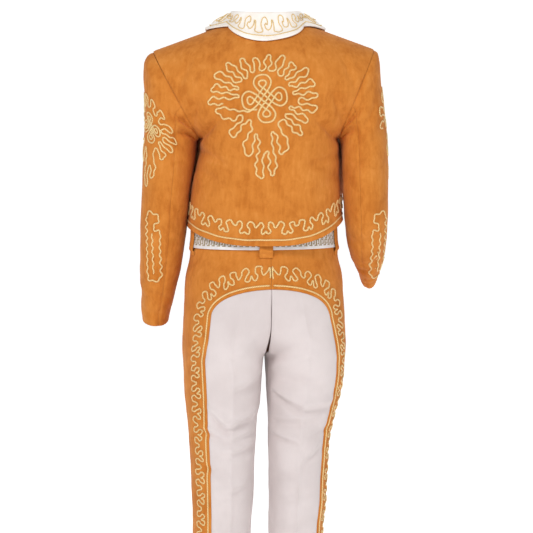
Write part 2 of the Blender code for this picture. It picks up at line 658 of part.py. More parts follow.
def front_edge_share(side, z):
    _, _, _, last = leg_angles(side, z)
    return 0.5 + 0.5 * (FRONT_EDGE * DEG - np.pi / 2) / (last - np.pi / 2)


FRONT_Z = np.concatenate([STRIP_Z, np.linspace(ARCH_FOOT, FRONT_EDGE_TOP, 4)])


def trouser_front(side, name):
    """Tan outer strip of the front leg, which widens over the hip to the waist seam."""
    low = front_edge_share(side, FRONT_Z)
    inner_share = np.concatenate([low, np.linspace(low[-1], 1.0, 3)[1:]])
    inner_z = np.concatenate([FRONT_Z, np.full(2, FRONT_EDGE_TOP)])
    outer_share = np.concatenate([np.full(len(FRONT_Z), 0.5), [0.75, 1.0]])
    outer_z = np.concatenate([FRONT_Z[:-1], np.full(3, WAIST_SEAM)])
    t = np.linspace(0, 1, 4)[None, :]
    share = inner_share[:, None] + (outer_share - inner_share)[:, None] * t
    z = inner_z[:, None] + (outer_z - inner_z)[:, None] * t
    outer = leg_share_point(side, share, z)
    inner = outer - SUEDE * leg_normals(side, share, z)
    outer, inner = pull_in(outer, inner, ("left", "right", "high"))
    add_piece(name, outer, inner, TAN)


def leg_panel_front(side, name):
    t = np.linspace(0, 1, 6)[None, :]
    low = front_edge_share(side, FRONT_Z)[:, None]
    share = low + (1.0 - low) * t
    z = np.repeat(FRONT_Z[:, None], t.shape[1], axis=1)
    outer = leg_share_point(side, share, z)
    inner = outer - WHITE_CLOTH * leg_normals(side, share, z)
    outer, inner = pull_in(outer, inner, ("left", "right", "high"))
    add_piece(name, outer, inner, WHITE)


# Waist
def waist_point(angle, z, off):
    """Point off the waist's outer face: angle 0 is the middle back, positive to the right."""
    side = np.where(angle >= 0, RIGHT, LEFT)
    turn = np.abs(angle)
    points = np.where((side > 0)[..., None], leg_point(RIGHT, turn, z), leg_point(LEFT, turn, z))
    small = 0.002
    ahead = np.where((side > 0)[..., None], leg_point(RIGHT, turn + small, z),
                     leg_point(LEFT, turn + small, z))
    behind = np.where((side > 0)[..., None], leg_point(RIGHT, turn - small, z),
                      leg_point(LEFT, turn - small, z))
    run = unit(ahead - behind) * side[..., None]
    square = np.cross(run, np.array([0.0, 0.0, 1.0]))
    return points + unit(square) * np.asarray(off)[..., None]


def around(angle):
    """Brings an angle into the half turn either side of the middle back."""
    return (angle + np.pi) % (2 * np.pi) - np.pi


def waistband():
    gap = 0.2 * DEG
    angle = np.linspace(-np.pi + gap, np.pi - gap, 35)[None, :]
    z = np.array([WAIST_SEAM + SEAM / 2, (WAIST_SEAM + WAIST_TOP) / 2, WAIST_TOP])[:, None]
    angle, z = np.broadcast_arrays(angle, z)
    outer = waist_point(angle, z, np.zeros(angle.shape))
    inner = waist_point(angle, z, np.full(angle.shape, -SUEDE))
    add_piece("waistband", outer, inner, TAN)


def belt_strap():
    """One strap round the waist, whose free end runs on behind its fixed end."""
    start = np.pi + 3 * DEG
    whole = 2 * np.pi + BELT["lap"]
    turn = np.linspace(0, whole, 57)
    over = 1 - np.clip((turn - BELT["lap"]) / BELT["ease"], 0, 1)
    off = SEAM * 1.5 + (BELT_THICK + SEAM * 2) * over
    angle = around(start + turn)[None, :]
    z = np.array([BELT["low"], (BELT["low"] + BELT["high"]) / 2, BELT["high"]])[:, None]
    angle, z = np.broadcast_arrays(angle, z)
    off = np.broadcast_to(off[None, :], angle.shape)
    inner = waist_point(angle, z, off)
    outer = waist_point(angle, z, off + BELT_THICK)
    add_piece("belt_strap", outer, inner, WHITE)


def buckle_plate():
    """Domed oval plate over the strap's front, as wide as the opening of the jacket shows."""
    u = np.linspace(-1, 1, 13)[None, :]
    v = np.linspace(-1, 1, 9)[:, None]
    x = BUCKLE["wide"] * u * np.sqrt(1 - v ** 2 / 2)
    height = BUCKLE["tall"] * v * np.sqrt(1 - u ** 2 / 2)
    z = (BELT["low"] + BELT["high"]) / 2 + height
    angle = np.pi - np.arcsin(np.abs(x) / WAIST_HALF)
    angle = np.where(x >= 0, angle, -angle)
    room = BELT_THICK * 2 + SEAM * 5
    rim = np.maximum(np.abs(u), np.abs(v)) ** 2
    dome = BUCKLE["dome"] * (1 - rim)
    base = waist_point(angle, np.full(z.shape, BELT["low"]), np.full(z.shape, room))
    base[..., 2] = z
    front = base.copy()
    front[..., 1] += BUCKLE["thick"] + dome
    add_piece("buckle_plate", front, base, SILVER, 0.3, 1.0)


def belt_loops():
    for name, (degrees, half) in LOOPS.items():
        path_z, path_off = np.array(LOOP_PATH["z"]), np.array(LOOP_PATH["off"])
        reach = half / WAIST_RADIUS * np.linspace(-1, 1, 4)
        angle = degrees * DEG + reach[None, :]
        angle, z = np.broadcast_arrays(angle, path_z[:, None])
        lap = BELT_THICK + SEAM * 2 if "front" in name else 0.0
        off = path_off + lap * np.clip((path_off - LAID["low"]) / LAID["span"], 0, 1)
        off = np.broadcast_to(off[:, None], angle.shape)
        inner = waist_point(angle, z, off)
        outer = waist_point(angle, z, off + SUEDE)
        add_piece(name, outer, inner, TAN)


def fly_flap():
    """Placket over the upper middle of the front."""
    z = np.linspace(FLY["foot"], FLY["top"], 6)
    t = np.linspace(0, 1, 4)
    share_wide = 0.5 * FLY["wide"] / WAIST_QUARTER
    round_foot = np.sqrt(np.clip((z - FLY["foot"] + 4) / FLY["curve"], FLY["least"], 1))
    share = 0.996 - share_wide * t[None, :] * round_foot[:, None]
    heights = np.repeat(z[:, None], len(t), axis=1)
    square = leg_normals(RIGHT, share, heights)
    points = leg_share_point(RIGHT, share, heights)
    off = FLY["off"]
    add_piece("fly_flap", points + square * (off + SUEDE), points + square * off, TAN)


jacket_back()
jacket_front(LEFT, "jacket_front_left")
jacket_front(RIGHT, "jacket_front_right")
for side, word in ((LEFT, "left"), (RIGHT, "right")):
    sleeve(side, "sleeve_" + word + "_top", FORE_SEAM - 2 * np.pi, HIND_SEAM, 12)
    sleeve(side, "sleeve_" + word + "_under", HIND_SEAM, FORE_SEAM, 8)
collar()
for side, word in ((LEFT, "left"), (RIGHT, "right")):
    trouser_back(side, "trouser_back_" + word)
    leg_panel_back(side, "leg_panel_back_" + word)
    trouser_front(side, "trouser_front_" + word)
    leg_panel_front(side, "leg_panel_front_" + word)
waistband()
fly_flap()
belt_strap()
buckle_plate()
belt_loops()
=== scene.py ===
import bpy
import numpy as np
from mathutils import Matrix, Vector


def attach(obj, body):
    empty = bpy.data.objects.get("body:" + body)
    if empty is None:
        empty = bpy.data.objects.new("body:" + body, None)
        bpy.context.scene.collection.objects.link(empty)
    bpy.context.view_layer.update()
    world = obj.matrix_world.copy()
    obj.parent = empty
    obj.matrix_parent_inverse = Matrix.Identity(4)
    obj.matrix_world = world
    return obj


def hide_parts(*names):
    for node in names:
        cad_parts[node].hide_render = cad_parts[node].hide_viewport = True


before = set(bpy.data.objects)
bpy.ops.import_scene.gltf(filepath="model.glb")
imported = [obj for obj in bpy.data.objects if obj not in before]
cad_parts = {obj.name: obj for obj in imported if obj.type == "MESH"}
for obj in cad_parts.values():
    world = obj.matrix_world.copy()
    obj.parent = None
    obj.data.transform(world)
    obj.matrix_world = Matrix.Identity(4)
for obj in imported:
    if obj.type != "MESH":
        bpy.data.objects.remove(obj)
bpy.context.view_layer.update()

# Everything below is worked out in millimetres and made metres in one place
mm = 0.001
deg = np.pi / 180
right, left = 1.0, -1.0
back, front = -1.0, 1.0
sideWord = {right: "right", left: "left"}


# Number helpers
def curve(xs, ys, x):
    # smooth line through the table's points that never swings past them
    xs, ys = np.asarray(xs, float), np.asarray(ys, float)
    x = np.clip(np.asarray(x, float), xs[0], xs[-1])
    step = np.diff(xs)
    slope = np.diff(ys) / step
    tangent = np.zeros(len(xs))
    same = slope[:-1] * slope[1:] > 0
    low, high = step[:-1] + 2 * step[1:], 2 * step[:-1] + step[1:]
    mean = np.zeros(len(slope) - 1)
    mean[same] = (low + high)[same] / (low[same] / slope[:-1][same] + high[same] / slope[1:][same])
    tangent[1:-1] = mean
    tangent[0], tangent[-1] = slope[0], slope[-1]
    k = np.clip(np.searchsorted(xs, x, side="right") - 1, 0, len(step) - 1)
    h = step[k]
    t = (x - xs[k]) / h
    return ((1 + 2 * t) * (1 - t) ** 2 * ys[k] + t * (1 - t) ** 2 * h * tangent[k]
            + t * t * (3 - 2 * t) * ys[k + 1] + t * t * (t - 1) * h * tangent[k + 1])


def power(value, exponent):
    return np.sign(value) * np.abs(value) ** exponent


def unit(vectors):
    return vectors / np.maximum(np.linalg.norm(vectors, axis=-1, keepdims=True), 1e-9)


def stack(x, y, z):
    x, y, z = np.broadcast_arrays(x, y, z)
    return np.stack([x, y, z], axis=-1).astype(float)


def gridNormals(points, outward):
    # square to the grid's two directions, on the side that outward points to
    normals = unit(np.cross(np.gradient(points, axis=1), np.gradient(points, axis=0)))
    return normals if np.sum(normals * outward) > 0 else -normals


def creases(a, b, folds):
    # each fold is a soft trough or ridge along a line from one point to another: its height is
    # a bell across the line, and it fades out past both ends
    push = np.zeros(np.broadcast(a, b).shape)
    for a0, b0, a1, b1, width, deep in folds:
        runA, runB = a1 - a0, b1 - b0
        size = runA * runA + runB * runB
        t = ((a - a0) * runA + (b - b0) * runB) / size
        bow = np.clip(t, 0, 1)
        away = (a - a0 - bow * runA) ** 2 + (b - b0 - bow * runB) ** 2
        fade = 0.55 + 0.45 * np.sin(np.pi * bow)
        push = push + deep * fade * np.exp(-away / width ** 2)
    return push


def ripple(a, b, seed, high=0.5):
    # slow uneven waves, so that no panel is perfectly smooth
    draw = np.random.default_rng(seed)
    push = np.zeros(np.broadcast(a, b).shape)
    for wave in (55.0, 34.0, 21.0):
        turn, shift = draw.uniform(0, np.pi), draw.uniform(0, 2 * np.pi)
        push = push + wave / 55 * np.sin((a * np.cos(turn) + b * np.sin(turn)) * 2 * np.pi / wave
                                         + shift)
    return push * high / 2


# Jacket body, on the same sections as its CAD pieces
body = {
    "z": [-320.0, -290.0, -250.0, -200.0, -178.0, -155.0],
    "left": [116.0, 115.0, 110.0, 102.5, 97.0, 95.0],
    "right": [115.0, 114.0, 108.5, 106.0, 105.5, 103.0],
    "back": [88.0, 87.0, 85.0, 86.0, 87.0, 88.0],
    "front": [93.0, 92.0, 88.0, 86.0, 86.0, 86.0],
    "round": 2.4, "pitZ": -155.0, "suede": 1.6, "seam": 0.3,
    "bustZ": -90.0, "bustBack": 86.0, "bustFront": 84.0, "spread": 55.0 * deg,
    "neckHalf": 52.0, "neckY": -2.0, "neckZ": 10.0, "neckShare": 0.36,
    "backReach": 44.0, "backDrop": 16.0,
    "frontReach": 60.0, "frontDrop": 48.0, "frontNarrow": 18.0,
    "slope": 0.36, "frontShare": 0.19,
    "hemBack": -304.0, "hemFront": -286.0, right: -271.0, left: -280.0, "hemCurve": 2.4,
}
armhole = {
    right: {"tip": (155.0, -28.0), "pit": (103.0, -155.0), "depth": 55.0},
    left: {"tip": (162.0, -31.0), "pit": (95.0, -155.0), "depth": 55.0},
}
backFolds = [
    # across, height at both ends, then width and depth
    (-130, -92, -108, -44, 6, -3.2), (-112, -140, -92, -84, 7, -3.6), (-98, -96, -84, -52, 8, 1.8),
    (-97, -156, -66, -124, 5, -6.0), (-86, -160, -56, -136, 5, 3.2), (128, -84, 112, -44, 6, -2.6),
    (114, -130, 94, -92, 7, -3.4), (104, -156, 74, -128, 5, -5.0), (-96, -172, -54, -192, 6, -4.4),
    (-98, -198, -66, -216, 6, -2.6), (104, -176, 70, -190, 6, -3.2), (106, -206, 80, -222, 6, -1.6),
    (-60, -246, 10, -256, 14, -1.2), (20, -232, 84, -246, 12, -1.2), (-40, -206, 24, -214, 12, -0.8),
]


def bodySection(side, face, share, z):
    half = curve(body["z"], body["right" if side > 0 else "left"], z)
    deep = curve(body["z"], body["back" if face < 0 else "front"], z)
    angle = share * 90 * deg
    return (side * half * power(np.sin(angle), 2 / body["round"]),
            face * deep * power(np.abs(np.cos(angle)), 2 / body["round"]))


def hemHeight(side, face, share):
    middle = body["hemBack"] if face < 0 else body["hemFront"]
    turn = np.clip(share, 0, 1) * 90 * deg
    return middle + (body[side] - middle) * np.sin(turn) ** body["hemCurve"]


def armholePoint(side, angle):
    hole = armhole[side]
    tip, pit = np.array(hole["tip"]), np.array(hole["pit"])
    mid, half = (tip + pit) / 2, (tip - pit) / 2
    return stack(side * (mid[0] + half[0] * np.cos(angle)), -hole["depth"] * np.sin(angle),
                 mid[1] + half[1] * np.cos(angle))


def armholeNormal(side, angle):
    hole = armhole[side]
    span = np.array(hole["tip"]) - np.array(hole["pit"])
    half = np.linalg.norm(span) / 2
    up = span / (2 * half)
    lift, rear = np.cos(angle) / half, np.sin(angle) / hole["depth"]
    return unit(stack(side * up[0] * lift, -rear, up[1] * lift))


def topEdge(side, face, share):
    tipX = armhole[side]["tip"][0]
    along = np.clip((share - body["neckShare"]) / (1 - body["neckShare"]), 0, 1)
    x = body["neckHalf"] + (tipX - body["neckHalf"]) * along
    seam = (x, body["neckY"] * (1 - along), body["neckZ"] - body["slope"] * (x - body["neckHalf"]))
    if face < 0:
        turn = np.clip(share / body["neckShare"], 0, 1) * 90 * deg
        neck = (body["neckHalf"] * np.sin(turn), body["neckY"] - body["backReach"] * np.cos(turn),
                body["neckZ"] - body["backDrop"] * np.cos(turn) ** 1.3)
    else:
        start = body["frontShare"]
        turn = np.clip((share - start) / (body["neckShare"] - start), 0, 1) * 90 * deg
        narrow = body["frontNarrow"]
        neck = (body["neckHalf"] - narrow + narrow * np.sin(turn),
                body["neckY"] + body["frontReach"] * np.cos(turn),
                body["neckZ"] - body["frontDrop"] * np.cos(turn))
    return [np.where(share < body["neckShare"], n, s) for n, s in zip(neck, seam)]


def jacketPoint(side, face, share, level):
    # level 0 is the hem, 1 the armpit, 2 half way up the armhole and 3 the shoulder seam;
    # above the armpit each column is a quarter ellipse, so the last one is the armhole ring
    share, level = np.broadcast_arrays(np.asarray(share, float), np.asarray(level, float))
    pitX, pitY = bodySection(side, face, share, body["pitZ"])
    spread, deep = body["spread"], body["bustBack" if face < 0 else "bustFront"]
    edge = armholePoint(side, 90 * deg)
    bustX = edge[..., 0] * np.sin(share * spread) / np.sin(spread)
    bulge = (np.cos(share * spread) - np.cos(spread)) / (1 - np.cos(spread))
    depth = armhole[side]["depth"]
    bustY = face * (depth + (deep - depth) * bulge)
    bustZ = body["bustZ"] + (edge[..., 2] - body["bustZ"]) * share ** 2
    topX, topY, topZ = topEdge(side, face, share)
    topX = side * topX
    ring = share ** 4
    hem = hemHeight(side, face, share)
    lowZ = hem + (body["pitZ"] - hem) * np.clip(level, None, 1)
    lowX, lowY = bodySection(side, face, share, lowZ)
    mid, high = np.clip(level - 1, 0, 1), np.clip(level - 2, 0, 1)
    slow = (1 - ring) * mid + ring * (1 - np.cos(mid * 90 * deg))
    fast = (1 - ring) * mid + ring * np.sin(mid * 90 * deg)
    rise = np.sin(high * 90 * deg)
    x = np.where(level <= 1, lowX, np.where(level <= 2, pitX + (bustX - pitX) * slow,
                 bustX + (topX - bustX) * ((1 - ring) * high + ring * rise)))
    y = np.where(level <= 1, lowY, np.where(level <= 2, pitY + (bustY - pitY) * fast,
                 bustY + (topY - bustY) * (1 - np.cos(high * 90 * deg))))
    z = np.where(level <= 1, lowZ, np.where(level <= 2, body["pitZ"] + (bustZ - body["pitZ"]) * slow,
                 bustZ + (topZ - bustZ) * rise))
    return stack(x, y, z)


# Sleeves, ring by ring down the arm
sleeves = {
    left: {
        "outX": [162, 170, 175.5, 176.0, 174.3, 174.5, 175.5, 177, 178.5, 180, 181.5, 182.5,
                 183.0, 182.5, 181.5, 182.5, 181.5],
        "outZ": [-31, -37, -50, -68, -92, -122, -155, -190, -225, -258, -288, -315,
                 -340, -362, -381, -398, -416],
        "inX": [95, 97.5, 99.7, 101, 101.6, 102, 103.2, 106.2, 109.8, 112, 115, 119,
                123.5, 128.5, 133.5, 138.5, 142.5],
        "inZ": [-155, -156.8, -159, -162, -167, -175, -187, -208, -234, -262, -290, -316,
                -341, -363, -382, -400, -419],
        "y": [0, 0, 0, 0, -1, -2, -4, -6, -8, -8, -4, 1, 7, 12, 17, 21, 25],
        "depth": [55, 55, 54.5, 54, 53, 52, 51, 50, 49, 48, 46, 45, 43, 42, 41, 39, 37],
        "tilt": [0, 0, 0, 0, 0, 1, 2, 3, 1, 4, 9, 12, 13, 13, 13, 13, 13],
    },
    right: {
        "outX": [155, 160, 163.0, 164.5, 167.0, 170.5, 173.5, 175, 175.5, 175.8, 176, 175.5,
                 174.5, 172.5, 170.5, 168.5, 166],
        "outZ": [-28, -33, -46, -65, -90, -122, -155, -190, -223, -253, -279, -298,
                 -311, -322, -331, -340, -350],
        "inX": [103, 105, 106.3, 107.2, 107.8, 108.3, 108.6, 109.2, 110.6, 112.4, 114.4, 116.8,
                120.5, 125.5, 130.5, 134.5, 138],
        "inZ": [-155, -156.8, -159, -162, -167, -175, -187, -208, -232, -257, -280, -298,
                -311, -322, -331, -340, -350],
        "y": [0, 0, 0, 0, -1, -3, -5, -8, -10, -8, 1, 14, 26, 37, 48, 60, 72],
        "depth": [55, 55, 54.5, 54, 53, 52, 51, 50, 49, 49, 48, 46, 44, 43, 41.5, 40, 38],
        "tilt": [0, 0, 0, 0, 0, 2, 3, 3, 5, 14, 28, 38, 42, 44, 45, 45, 45],
    },
}
sleeveRound, hindSeam, foreSeam = 2.15, 106.0 * deg, 250.0 * deg
sleeveFolds = {
    # angle round the ring and ring number times ten at both ends, then width and depth
    left: [(60, 42, 120, 50, 5, -2.6), (20, 50, 80, 58, 5, -1.6), (100, 60, 150, 66, 6, -2.0),
           (110, 88, 175, 94, 5, -2.4), (60, 112, 120, 118, 5, -2.0), (20, 100, 70, 104, 5, -1.2),
           (70, 132, 130, 138, 4, -1.8), (10, 128, 60, 133, 4, 1.2), (30, 148, 120, 151, 4, -1.6),
           (-60, 110, 0, 116, 5, -1.6), (-80, 60, -20, 66, 6, -1.6), (212, 16, 208, 66, 10, 5.4),
           (206, 70, 208, 90, 9, 3.4), (108, 46, 152, 14, 4, -6.4), (100, 38, 148, 6, 4, 3.2),
           (96, 30, 140, 3, 4, -4.4)],
    right: [(60, 42, 120, 50, 5, -2.6), (20, 52, 80, 58, 5, -1.6), (100, 62, 150, 68, 6, -2.0),
            (60, 98, 150, 103, 4, -2.8), (20, 112, 110, 118, 4, -2.2), (80, 126, 150, 130, 4, -2.4),
            (20, 138, 100, 143, 4, -2.0), (60, 150, 130, 153, 3, -1.6), (-70, 100, 0, 106, 5, -1.8),
            (-90, 60, -30, 68, 6, -1.6), (212, 16, 212, 60, 9, 3.4), (108, 44, 150, 14, 4, -5.0),
            (100, 35, 146, 6, 4, 2.2), (94, 28, 138, 3, 4, -2.8)],
}


def sleevePoint(side, ring, angle):
    table = sleeves[side]
    row = {key: curve(np.arange(17), values, ring) for key, values in table.items()}
    midX, halfX = (row["outX"] + row["inX"]) / 2, (row["outX"] - row["inX"]) / 2
    midZ, halfZ = (row["outZ"] + row["inZ"]) / 2, (row["outZ"] - row["inZ"]) / 2
    shape = 2 / (2 + (sleeveRound - 2) * np.clip(ring / 4, 0, 1))
    across, rear = power(np.cos(angle), shape), power(np.sin(angle), shape)
    tilt = row["tilt"] * deg
    points = stack(side * (midX + halfX * across), row["y"] - row["depth"] * rear * np.cos(tilt),
                   midZ + halfZ * across - row["depth"] * rear * np.sin(tilt))
    out = unit(stack(side * across, -rear * np.cos(tilt), -rear * np.sin(tilt)))
    turned = ((angle / deg + 110) % 360 - 110) * 0.8
    folds = [(a0 * 0.8, b0 * 2.2, a1 * 0.8, b1 * 2.2, width * 1.6, deep)
             for a0, b0, a1, b1, width, deep in sleeveFolds[side]]
    push = creases(turned, ring * 22, folds) + ripple(turned, ring * 22, 8 + int(side))
    hold = np.clip(ring / 0.8, 0, 1) * np.clip((16.2 - ring) / 0.5, 0.3, 1)
    return points + out * (push * hold)[..., None]


# Trousers: one closed section per leg, cut by the body's middle above the fork
trousers = {
    "turn": 7.4 * deg, "x": -3.0,
    "z": [-980, -860, -726, -679, -636, -587, -559, -536, -516, -487, -471, -455,
          -436, -412, -387, -349, -319, -300, -265],
    "xleft": [64, 63.5, 63, 61.5, 61.5, 61.5, 61.7, 60.5, 60.5, 60.2, 60, 55,
              46, 35, 24, 9, 0, 0, 0],
    "wleft": [41, 41, 42, 44.5, 46, 48.6, 50.9, 54, 55.5, 57.2, 58.0, 63.5,
              72, 82.3, 91.6, 104, 107, 103.5, 102],
    "xright": [45, 45, 46, 48.4, 49.4, 51.1, 54.1, 57, 58.6, 60.0, 60, 55,
               46, 35, 24, 9, 0, 0, 0],
    "wright": [40, 39.5, 39.6, 41.6, 42.8, 44.9, 48.2, 52, 55.0, 57.4, 58.0, 63.5,
               72, 82.3, 91.6, 104, 107, 103.5, 102],
    "y": [-10, -9, -6, -4, -3, -2, 0, 1, 2, 2, 2, 1, 0, 0, 0, 0, 0, 0, 0],
    "back": [50, 50, 53, 56, 58, 58, 60, 64, 69, 77, 82, 86, 89, 90, 89, 84, 77.5, 75, 74],
    "front": [50, 50, 51, 52, 53, 55, 58, 61, 65, 70, 73, 75, 77, 79, 80, 80, 77.5, 75, 74],
    # the pressed creases: where round the leg at each height, their height and width
    "round": 2.12, "creaseZ": [-980.0, -500.0, -430.0, -370.0],
    "creaseBack": [-7.0, -7.0, 6.0, 14.0], "creaseFront": [187.0, 187.0, 176.0, 168.0],
    "creaseHigh": 3.4, "creaseWide": 5.5 * deg, "creaseTop": -352.0, "creaseFade": 80.0,
    "waist": -306.0, "hem": -979.0, "archTop": -365.0, "archFoot": -405.0, "archRound": 1.9,
    "edgeZ": [-980.0, -680.0, -536.0, -470.0, -405.0],
    left: [27.0, 28.0, 30.0, 33.0, 37.0], right: [37.0, 38.0, 41.0, 39.0, 37.0],
    "frontTop": -330.0, "frontEdge": 140.0 * deg, "white": 1.3, "suede": 1.6,
}
legFolds = {
    # angle round the leg and height at both ends, then width and depth
    left: [(26, -536, 0, -560, 5, 5.0), (0, -560, -52, -543, 5, 5.4), (22, -548, 0, -571, 5, -5.6),
           (0, -571, -48, -555, 5, -5.0), (44, -572, -6, -588, 5, -4.2), (-6, -588, -56, -578, 5, -3.4),
           (40, -562, 6, -576, 4, 2.6), (-66, -596, 8, -610, 6, -4.4), (-60, -586, 4, -600, 5, 2.6),
           (50, -620, 4, -634, 6, -3.4), (-64, -500, -8, -516, 7, -4.4), (-60, -490, -10, -504, 6, 2.4),
           (-58, -462, -10, -430, 8, -4.6), (-44, -474, 0, -448, 7, 2.4), (18, -408, -2, -470, 8, -3.0),
           (-44, -656, 18, -668, 7, -2.8), (-36, -646, 16, -657, 6, 1.6), (-40, -740, 20, -752, 9, -2.0),
           (10, -850, 40, -842, 9, -2.0), (-46, -812, -6, -824, 9, -1.6),
           (120, -530, 200, -545, 8, -3.2), (150, -486, 230, -476, 8, -2.8), (140, -590, 210, -600, 8, -2.4)],
    right: [(-64, -510, -6, -534, 5, 5.0), (-6, -534, 36, -528, 6, 5.0), (-60, -523, -6, -546, 5, -5.6),
            (-6, -546, 34, -541, 6, -4.4), (-60, -553, 14, -550, 5, 2.8), (-62, -563, 18, -561, 5, -4.6),
            (-72, -573, -8, -586, 5, 2.8), (-70, -583, -6, -597, 6, -4.6), (46, -572, 10, -580, 5, -3.4),
            (32, -600, 0, -622, 6, -4.2), (28, -590, -2, -611, 5, 2.2), (-56, -640, -4, -632, 7, -2.6),
            (-70, -466, 0, -444, 8, -5.6), (-62, -480, 4, -458, 7, 3.0), (-66, -492, 8, -500, 7, -3.4),
            (14, -408, 0, -440, 8, -2.2), (-46, -672, 18, -662, 7, -2.6), (-40, -760, 14, -748, 9, -2.0),
            (0, -860, 36, -850, 9, -2.0), (-44, -820, 4, -832, 9, -1.6),
            (120, -540, 200, -528, 8, -3.2), (150, -480, 230, -490, 8, -2.8), (140, -596, 210, -586, 8, -2.4)],
}


def legSize(side, z):
    word = sideWord[side]
    x, w = curve(trousers["z"], trousers["x" + word], z), curve(trousers["z"], trousers["w" + word], z)
    cut = np.arcsin(np.clip(x / w, 0, 1) ** (trousers["round"] / 2))
    return x, w, -cut, np.pi + cut


def legPoint(side, angle, z, smooth=False):
    # angle 0 is the back, 90 degrees the outside, 180 the front
    xMid, w, _, _ = legSize(side, z)
    shape = 2 / trousers["round"]
    deep = np.where(np.cos(angle) > 0, curve(trousers["z"], trousers["back"], z),
                    curve(trousers["z"], trousers["front"], z))
    x = xMid + w * power(np.sin(angle), shape)
    y = curve(trousers["z"], trousers["y"], z) - deep * power(np.cos(angle), shape)
    if not smooth:
        pressed = trousers["creaseHigh"] * np.clip((trousers["creaseTop"] - z)
                                                   / trousers["creaseFade"], 0, 1)
        push = np.zeros(np.broadcast(angle, z).shape)
        for key in ("creaseBack", "creaseFront"):
            ridge = curve(trousers["creaseZ"], trousers[key], z) * deg
            push = push + pressed * np.exp(-np.abs(angle - ridge) / trousers["creaseWide"])
        push = push + creases(angle / deg, z, legFolds[side])
        push = push + ripple(angle / deg, z, 21 + int(side)) * np.clip((-330 - z) / 40, 0, 1)
        x = x + push * np.sin(angle)
        y = y - push * np.cos(angle)
    x = side * x
    turnCos, turnSin = np.cos(trousers["turn"]), np.sin(trousers["turn"])
    return stack(trousers["x"] + x * turnCos - y * turnSin, x * turnSin + y * turnCos, z)


def legAngle(side, share, z):
    # share 0 is the middle back or the inside leg, 0.5 the side seam, 1 the middle front
    _, _, first, last = legSize(side, z)
    seam = np.pi / 2
    return np.where(share <= 0.5, first + (seam - first) * share * 2,
                    seam + (last - seam) * (share - 0.5) * 2)


def edgeShare(side, z):
    _, _, first, _ = legSize(side, z)
    return 0.5 * (curve(trousers["edgeZ"], trousers[side], z) * deg - first) / (np.pi / 2 - first)


def frontShareAt(side, z):
    _, _, _, last = legSize(side, z)
    return 0.5 + 0.5 * (trousers["frontEdge"] - np.pi / 2) / (last - np.pi / 2)


# Mesh making
def pullIn(outer, inner, edges, amount=0.15):
    # a seam's two pieces each stop a little short of it
    shift = np.zeros_like(outer)
    places = {"left": (np.s_[:, 0], np.s_[:, 1]), "right": (np.s_[:, -1], np.s_[:, -2]),
              "high": (np.s_[-1, :], np.s_[-2, :]), "low": (np.s_[0, :], np.s_[1, :])}
    for edge in edges:
        at, beside = places[edge]
        along = unit(np.gradient(outer[at], axis=0))
        step = outer[beside] - outer[at]
        inward = step - along * np.sum(step * along, axis=-1, keepdims=True)
        square = np.linalg.norm(inward, axis=-1) > 0.35 * np.linalg.norm(step, axis=-1)
        shift[at] += unit(inward) * amount * square[:, None]
    return outer + shift, inner + shift


def meshFrom(name, points, faces, uv, material):
    # points in millimetres, uv one pair per point, in metres along the cloth
    mesh = bpy.data.meshes.new(name)
    mesh.from_pydata((points * mm).tolist(), [], faces.tolist())
    layer = mesh.uv_layers.new(name="cloth")
    corner = np.zeros(len(mesh.loops), np.int32)
    mesh.loops.foreach_get("vertex_index", corner)
    layer.data.foreach_set("uv", uv[corner].astype(np.float32).ravel())
    mesh.shade_smooth()
    mesh.materials.append(material)
    piece = bpy.data.objects.new(name, mesh)
    bpy.context.scene.collection.objects.link(piece)
    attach(piece, "root")
    return piece


def clothUv(points):
    # mean length so far across the rows and up the columns, in metres
    rows = np.linalg.norm(np.diff(points, axis=0), axis=-1).mean(axis=1)
    cols = np.linalg.norm(np.diff(points, axis=1), axis=-1).mean(axis=0)
    v = np.concatenate([[0], np.cumsum(rows)]) * mm
    u = np.concatenate([[0], np.cumsum(cols)]) * mm
    return np.stack(np.meshgrid(u, v), axis=-1).reshape(-1, 2)


def gridFaces(rows, cols, closed=False):
    number = np.arange(rows * cols).reshape(rows, cols)
    ahead = np.roll(number, -1, axis=1) if closed else number[:, 1:]
    here = number if closed else number[:, :-1]
    return np.stack([here[:-1], ahead[:-1], ahead[1:], here[1:]], axis=-1).reshape(-1, 4)


def addWall(name, outer, inner, material, node=None, closed=False):
    # a wall of cloth: an outer grid, an inner grid and the rim between them
    rows, cols = outer.shape[:2]
    count = rows * cols
    faces = gridFaces(rows, cols, closed)
    number = np.arange(count).reshape(rows, cols)
    border = [number[0], number[-1][::-1]]
    if closed:
        border = [np.append(line, line[0]) for line in border]
    else:
        border += [number[:, 0][::-1], number[:, -1]]
    rims = [np.stack([line[1:], line[:-1], line[:-1] + count, line[1:] + count], axis=-1)
            for line in border]
    allFaces = np.concatenate([faces, faces[:, ::-1] + count, *rims])
    points = np.concatenate([outer.reshape(-1, 3), inner.reshape(-1, 3)])
    corner = outer[:-1, :-1] - outer[1:, 1:]
    facing = np.cross(corner, outer[:-1, 1:] - outer[1:, :-1])
    thick = (outer - inner)[:-1, :-1]
    if np.sum(facing * thick) > 0:
        allFaces = allFaces[:, ::-1]
    uv = np.tile(clothUv(outer), (2, 1))
    piece = meshFrom(name, points, allFaces, uv, material)
    piece.data.set_sharp_from_angle(angle=60 * deg)
    if node:
        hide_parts(node)
    return piece


